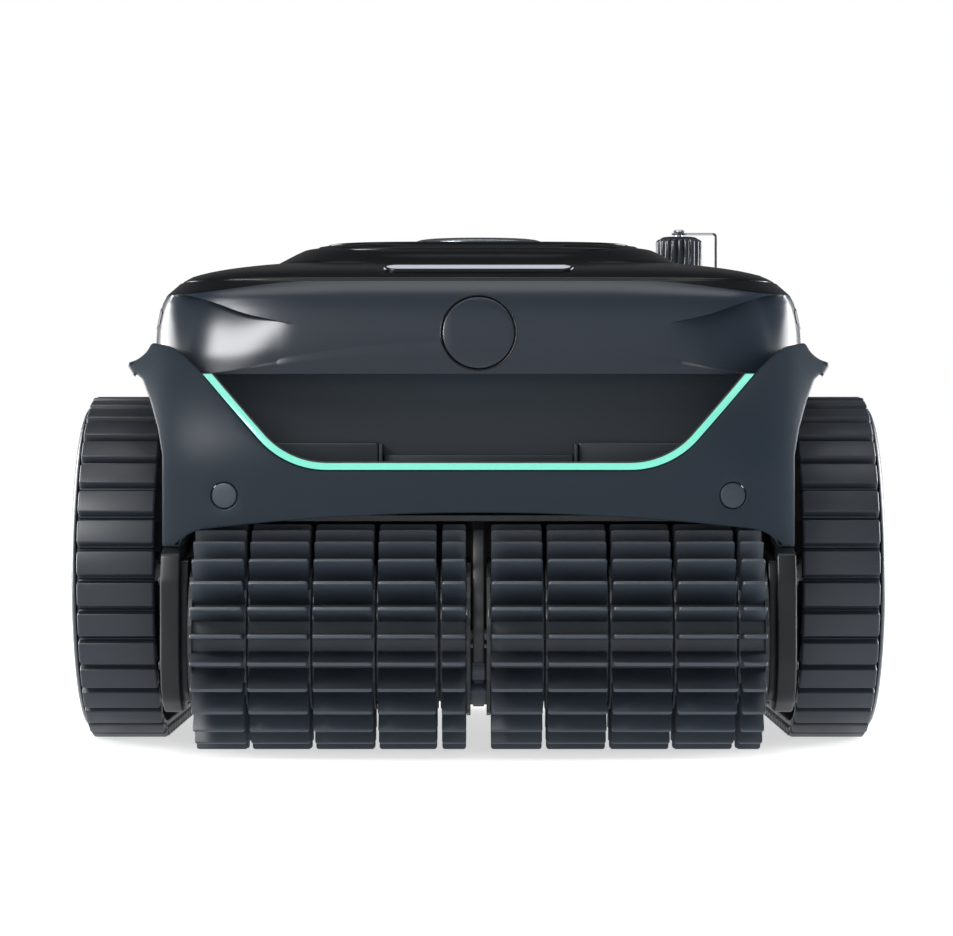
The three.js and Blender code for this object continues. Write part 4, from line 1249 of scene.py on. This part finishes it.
def handle():
    outline = fillet([(-58, 191.0), (-46, 191.0), (-43, 214.4), (43, 214.4), (46, 191.0),
                      (58, 191.0), (58, 216), (50, 224.2), (-50, 224.2), (-58, 216)],
                     [1, 1, 5, 5, 1, 1, 7, 9, 9, 7], 6)
    grip = prism(spaced(outline, 8), 214.2, 231.8, "z", 4.2, 5)
    pad = []
    for k in range(9):
        x = (k - 4) * 9
        pad.append(prism(box_outline(x - 2.6, 216.2, x + 2.6, 223.0, 1.4, 3), 231.0, 232.0,
                         "z", 0.4, 2))
    piece("carry_handle_grip", join([grip] + pad), SLATE, "chassis",
          ["carry_handle"], 34)


def grille():
    slots = []
    for k in range(5):
        x = (k - 2) * 10
        half = math.sqrt(29.3 ** 2 - (abs(x) + 2.5) ** 2) - 3
        slots.append(box_outline(x - 2.4, OUTLET_Y - half, x + 2.4, OUTLET_Y + half, 2.3, 4))
    dome = plate(circle(29.5, 96, (0, OUTLET_Y)), slots, 258.6,
                 lambda x, y: 262.9 - 0.9 * (x ** 2 + (y - OUTLET_Y) ** 2) / 870, "z", 0.6, 4)
    piece("outlet_grille_face", dome, BLACK_SATIN, "chassis",
          ["outlet_grille"], 35)


# ------------------------------------------------------ camera and studio

EYE = (0.0, -1.970, 0.1485)
LENS_LENGTH = 129.7
SENSOR_WIDTH = 36.0
SIDE_SHIFT = -0.0021
FLOOR_REACH = 14.0


def camera():
    data = bpy.data.cameras.new("view")
    data.lens = LENS_LENGTH
    data.sensor_width = SENSOR_WIDTH
    data.shift_x = SIDE_SHIFT
    data.clip_start, data.clip_end = 0.05, 30.0
    eye = bpy.data.objects.new("view", data)
    eye.location = EYE
    eye.rotation_euler = (math.radians(90), 0, 0)
    bpy.context.scene.collection.objects.link(eye)
    bpy.context.scene.camera = eye


def light(name, where, aim, size, power, sheen_only=False):
    data = bpy.data.lights.new(name, "AREA")
    data.shape = "RECTANGLE"
    data.size, data.size_y = size
    data.energy = power
    lamp = bpy.data.objects.new(name, data)
    lamp.location = where
    lamp.visible_diffuse = not sheen_only
    away = [a - b for a, b in zip(where, aim)]
    lamp.rotation_euler = Vector(away).to_track_quat("Z", "Y").to_euler()
    bpy.context.scene.collection.objects.link(lamp)


def studio():
    world = bpy.data.worlds.new("studio")
    bpy.context.scene.world = world
    world.use_nodes = True
    tree = world.node_tree
    back = tree.nodes["Background"]
    path = node(tree, "ShaderNodeLightPath")
    level = node(tree, "ShaderNodeMapRange")
    level.inputs["To Min"].default_value = 0.1
    level.inputs["To Max"].default_value = 1.0
    tree.links.new(path.outputs["Is Camera Ray"], level.inputs["Value"])
    tree.links.new(level.outputs["Result"], back.inputs["Strength"])
    back.inputs["Color"].default_value = (1, 1, 1, 1)
    centre = (0, 0, 0.15)
    light("key_above", (0.0, -0.3, 2.2), centre, (2.4, 1.0), 20)
    light("front_fill", (0.0, -3.4, 1.6), centre, (4.0, 3.0), 25)
    light("left_streak", (-1.3, -1.45, 1.3), centre, (0.9, 0.9), 85, True)
    light("rear_left", (-2.1, 1.1, 0.55), centre, (1.8, 1.2), 85)
    light("rear_right", (2.1, 1.1, 0.55), centre, (1.8, 1.2), 85)
    pale_floor()
    bpy.context.scene.view_settings.view_transform = "Standard"


def pale_floor():
    """A white sheet that glows more with distance, so that it meets the backdrop."""
    corners = [(-FLOOR_REACH, -FLOOR_REACH), (FLOOR_REACH, -FLOOR_REACH),
               (FLOOR_REACH, FLOOR_REACH), (-FLOOR_REACH, FLOOR_REACH)]
    mesh = bpy.data.meshes.new("floor")
    mesh.from_pydata([(x, y, 0) for x, y in corners], [], [(0, 1, 2, 3)])
    floor = bpy.data.objects.new("floor", mesh)
    bpy.context.scene.collection.objects.link(floor)
    mat = finish("floor_pale", (0.86, 0.86, 0.86), 0.8, 0.02, 0.005, 200.0, 0.0, level=0.1)
    shader = mat.node_tree.nodes["Principled BSDF"]
    shader.inputs["Emission Color"].default_value = (1, 1, 1, 1)
    tree = mat.node_tree
    place = node(tree, "ShaderNodeTexCoord")
    away = node(tree, "ShaderNodeVectorMath", operation="LENGTH")
    rise = node(tree, "ShaderNodeMapRange")
    rise.inputs["From Min"].default_value = 1.2
    rise.inputs["From Max"].default_value = 4.0
    rise.inputs["To Min"].default_value = 0.62
    rise.inputs["To Max"].default_value = 1.0
    tree.links.new(place.outputs["Object"], away.inputs[0])
    tree.links.new(away.outputs["Value"], rise.inputs["Value"])
    tree.links.new(rise.outputs["Result"], shader.inputs["Emission Strength"])
    mesh.materials.append(mat)


slot_looks()
camera()
studio()
bumper()
light_strip()
upper_shell()
top_cover()
lens_bar()
lid()
charging_cap()
recess()
for side_name, side_sign in (("left", -1), ("right", 1)):
    track(side_name, side_sign)
    track_cover(side_name, side_sign)
    roller(side_name)
    side_bracket(side_name, side_sign)
center_bracket()
chassis()
handle()
grille()
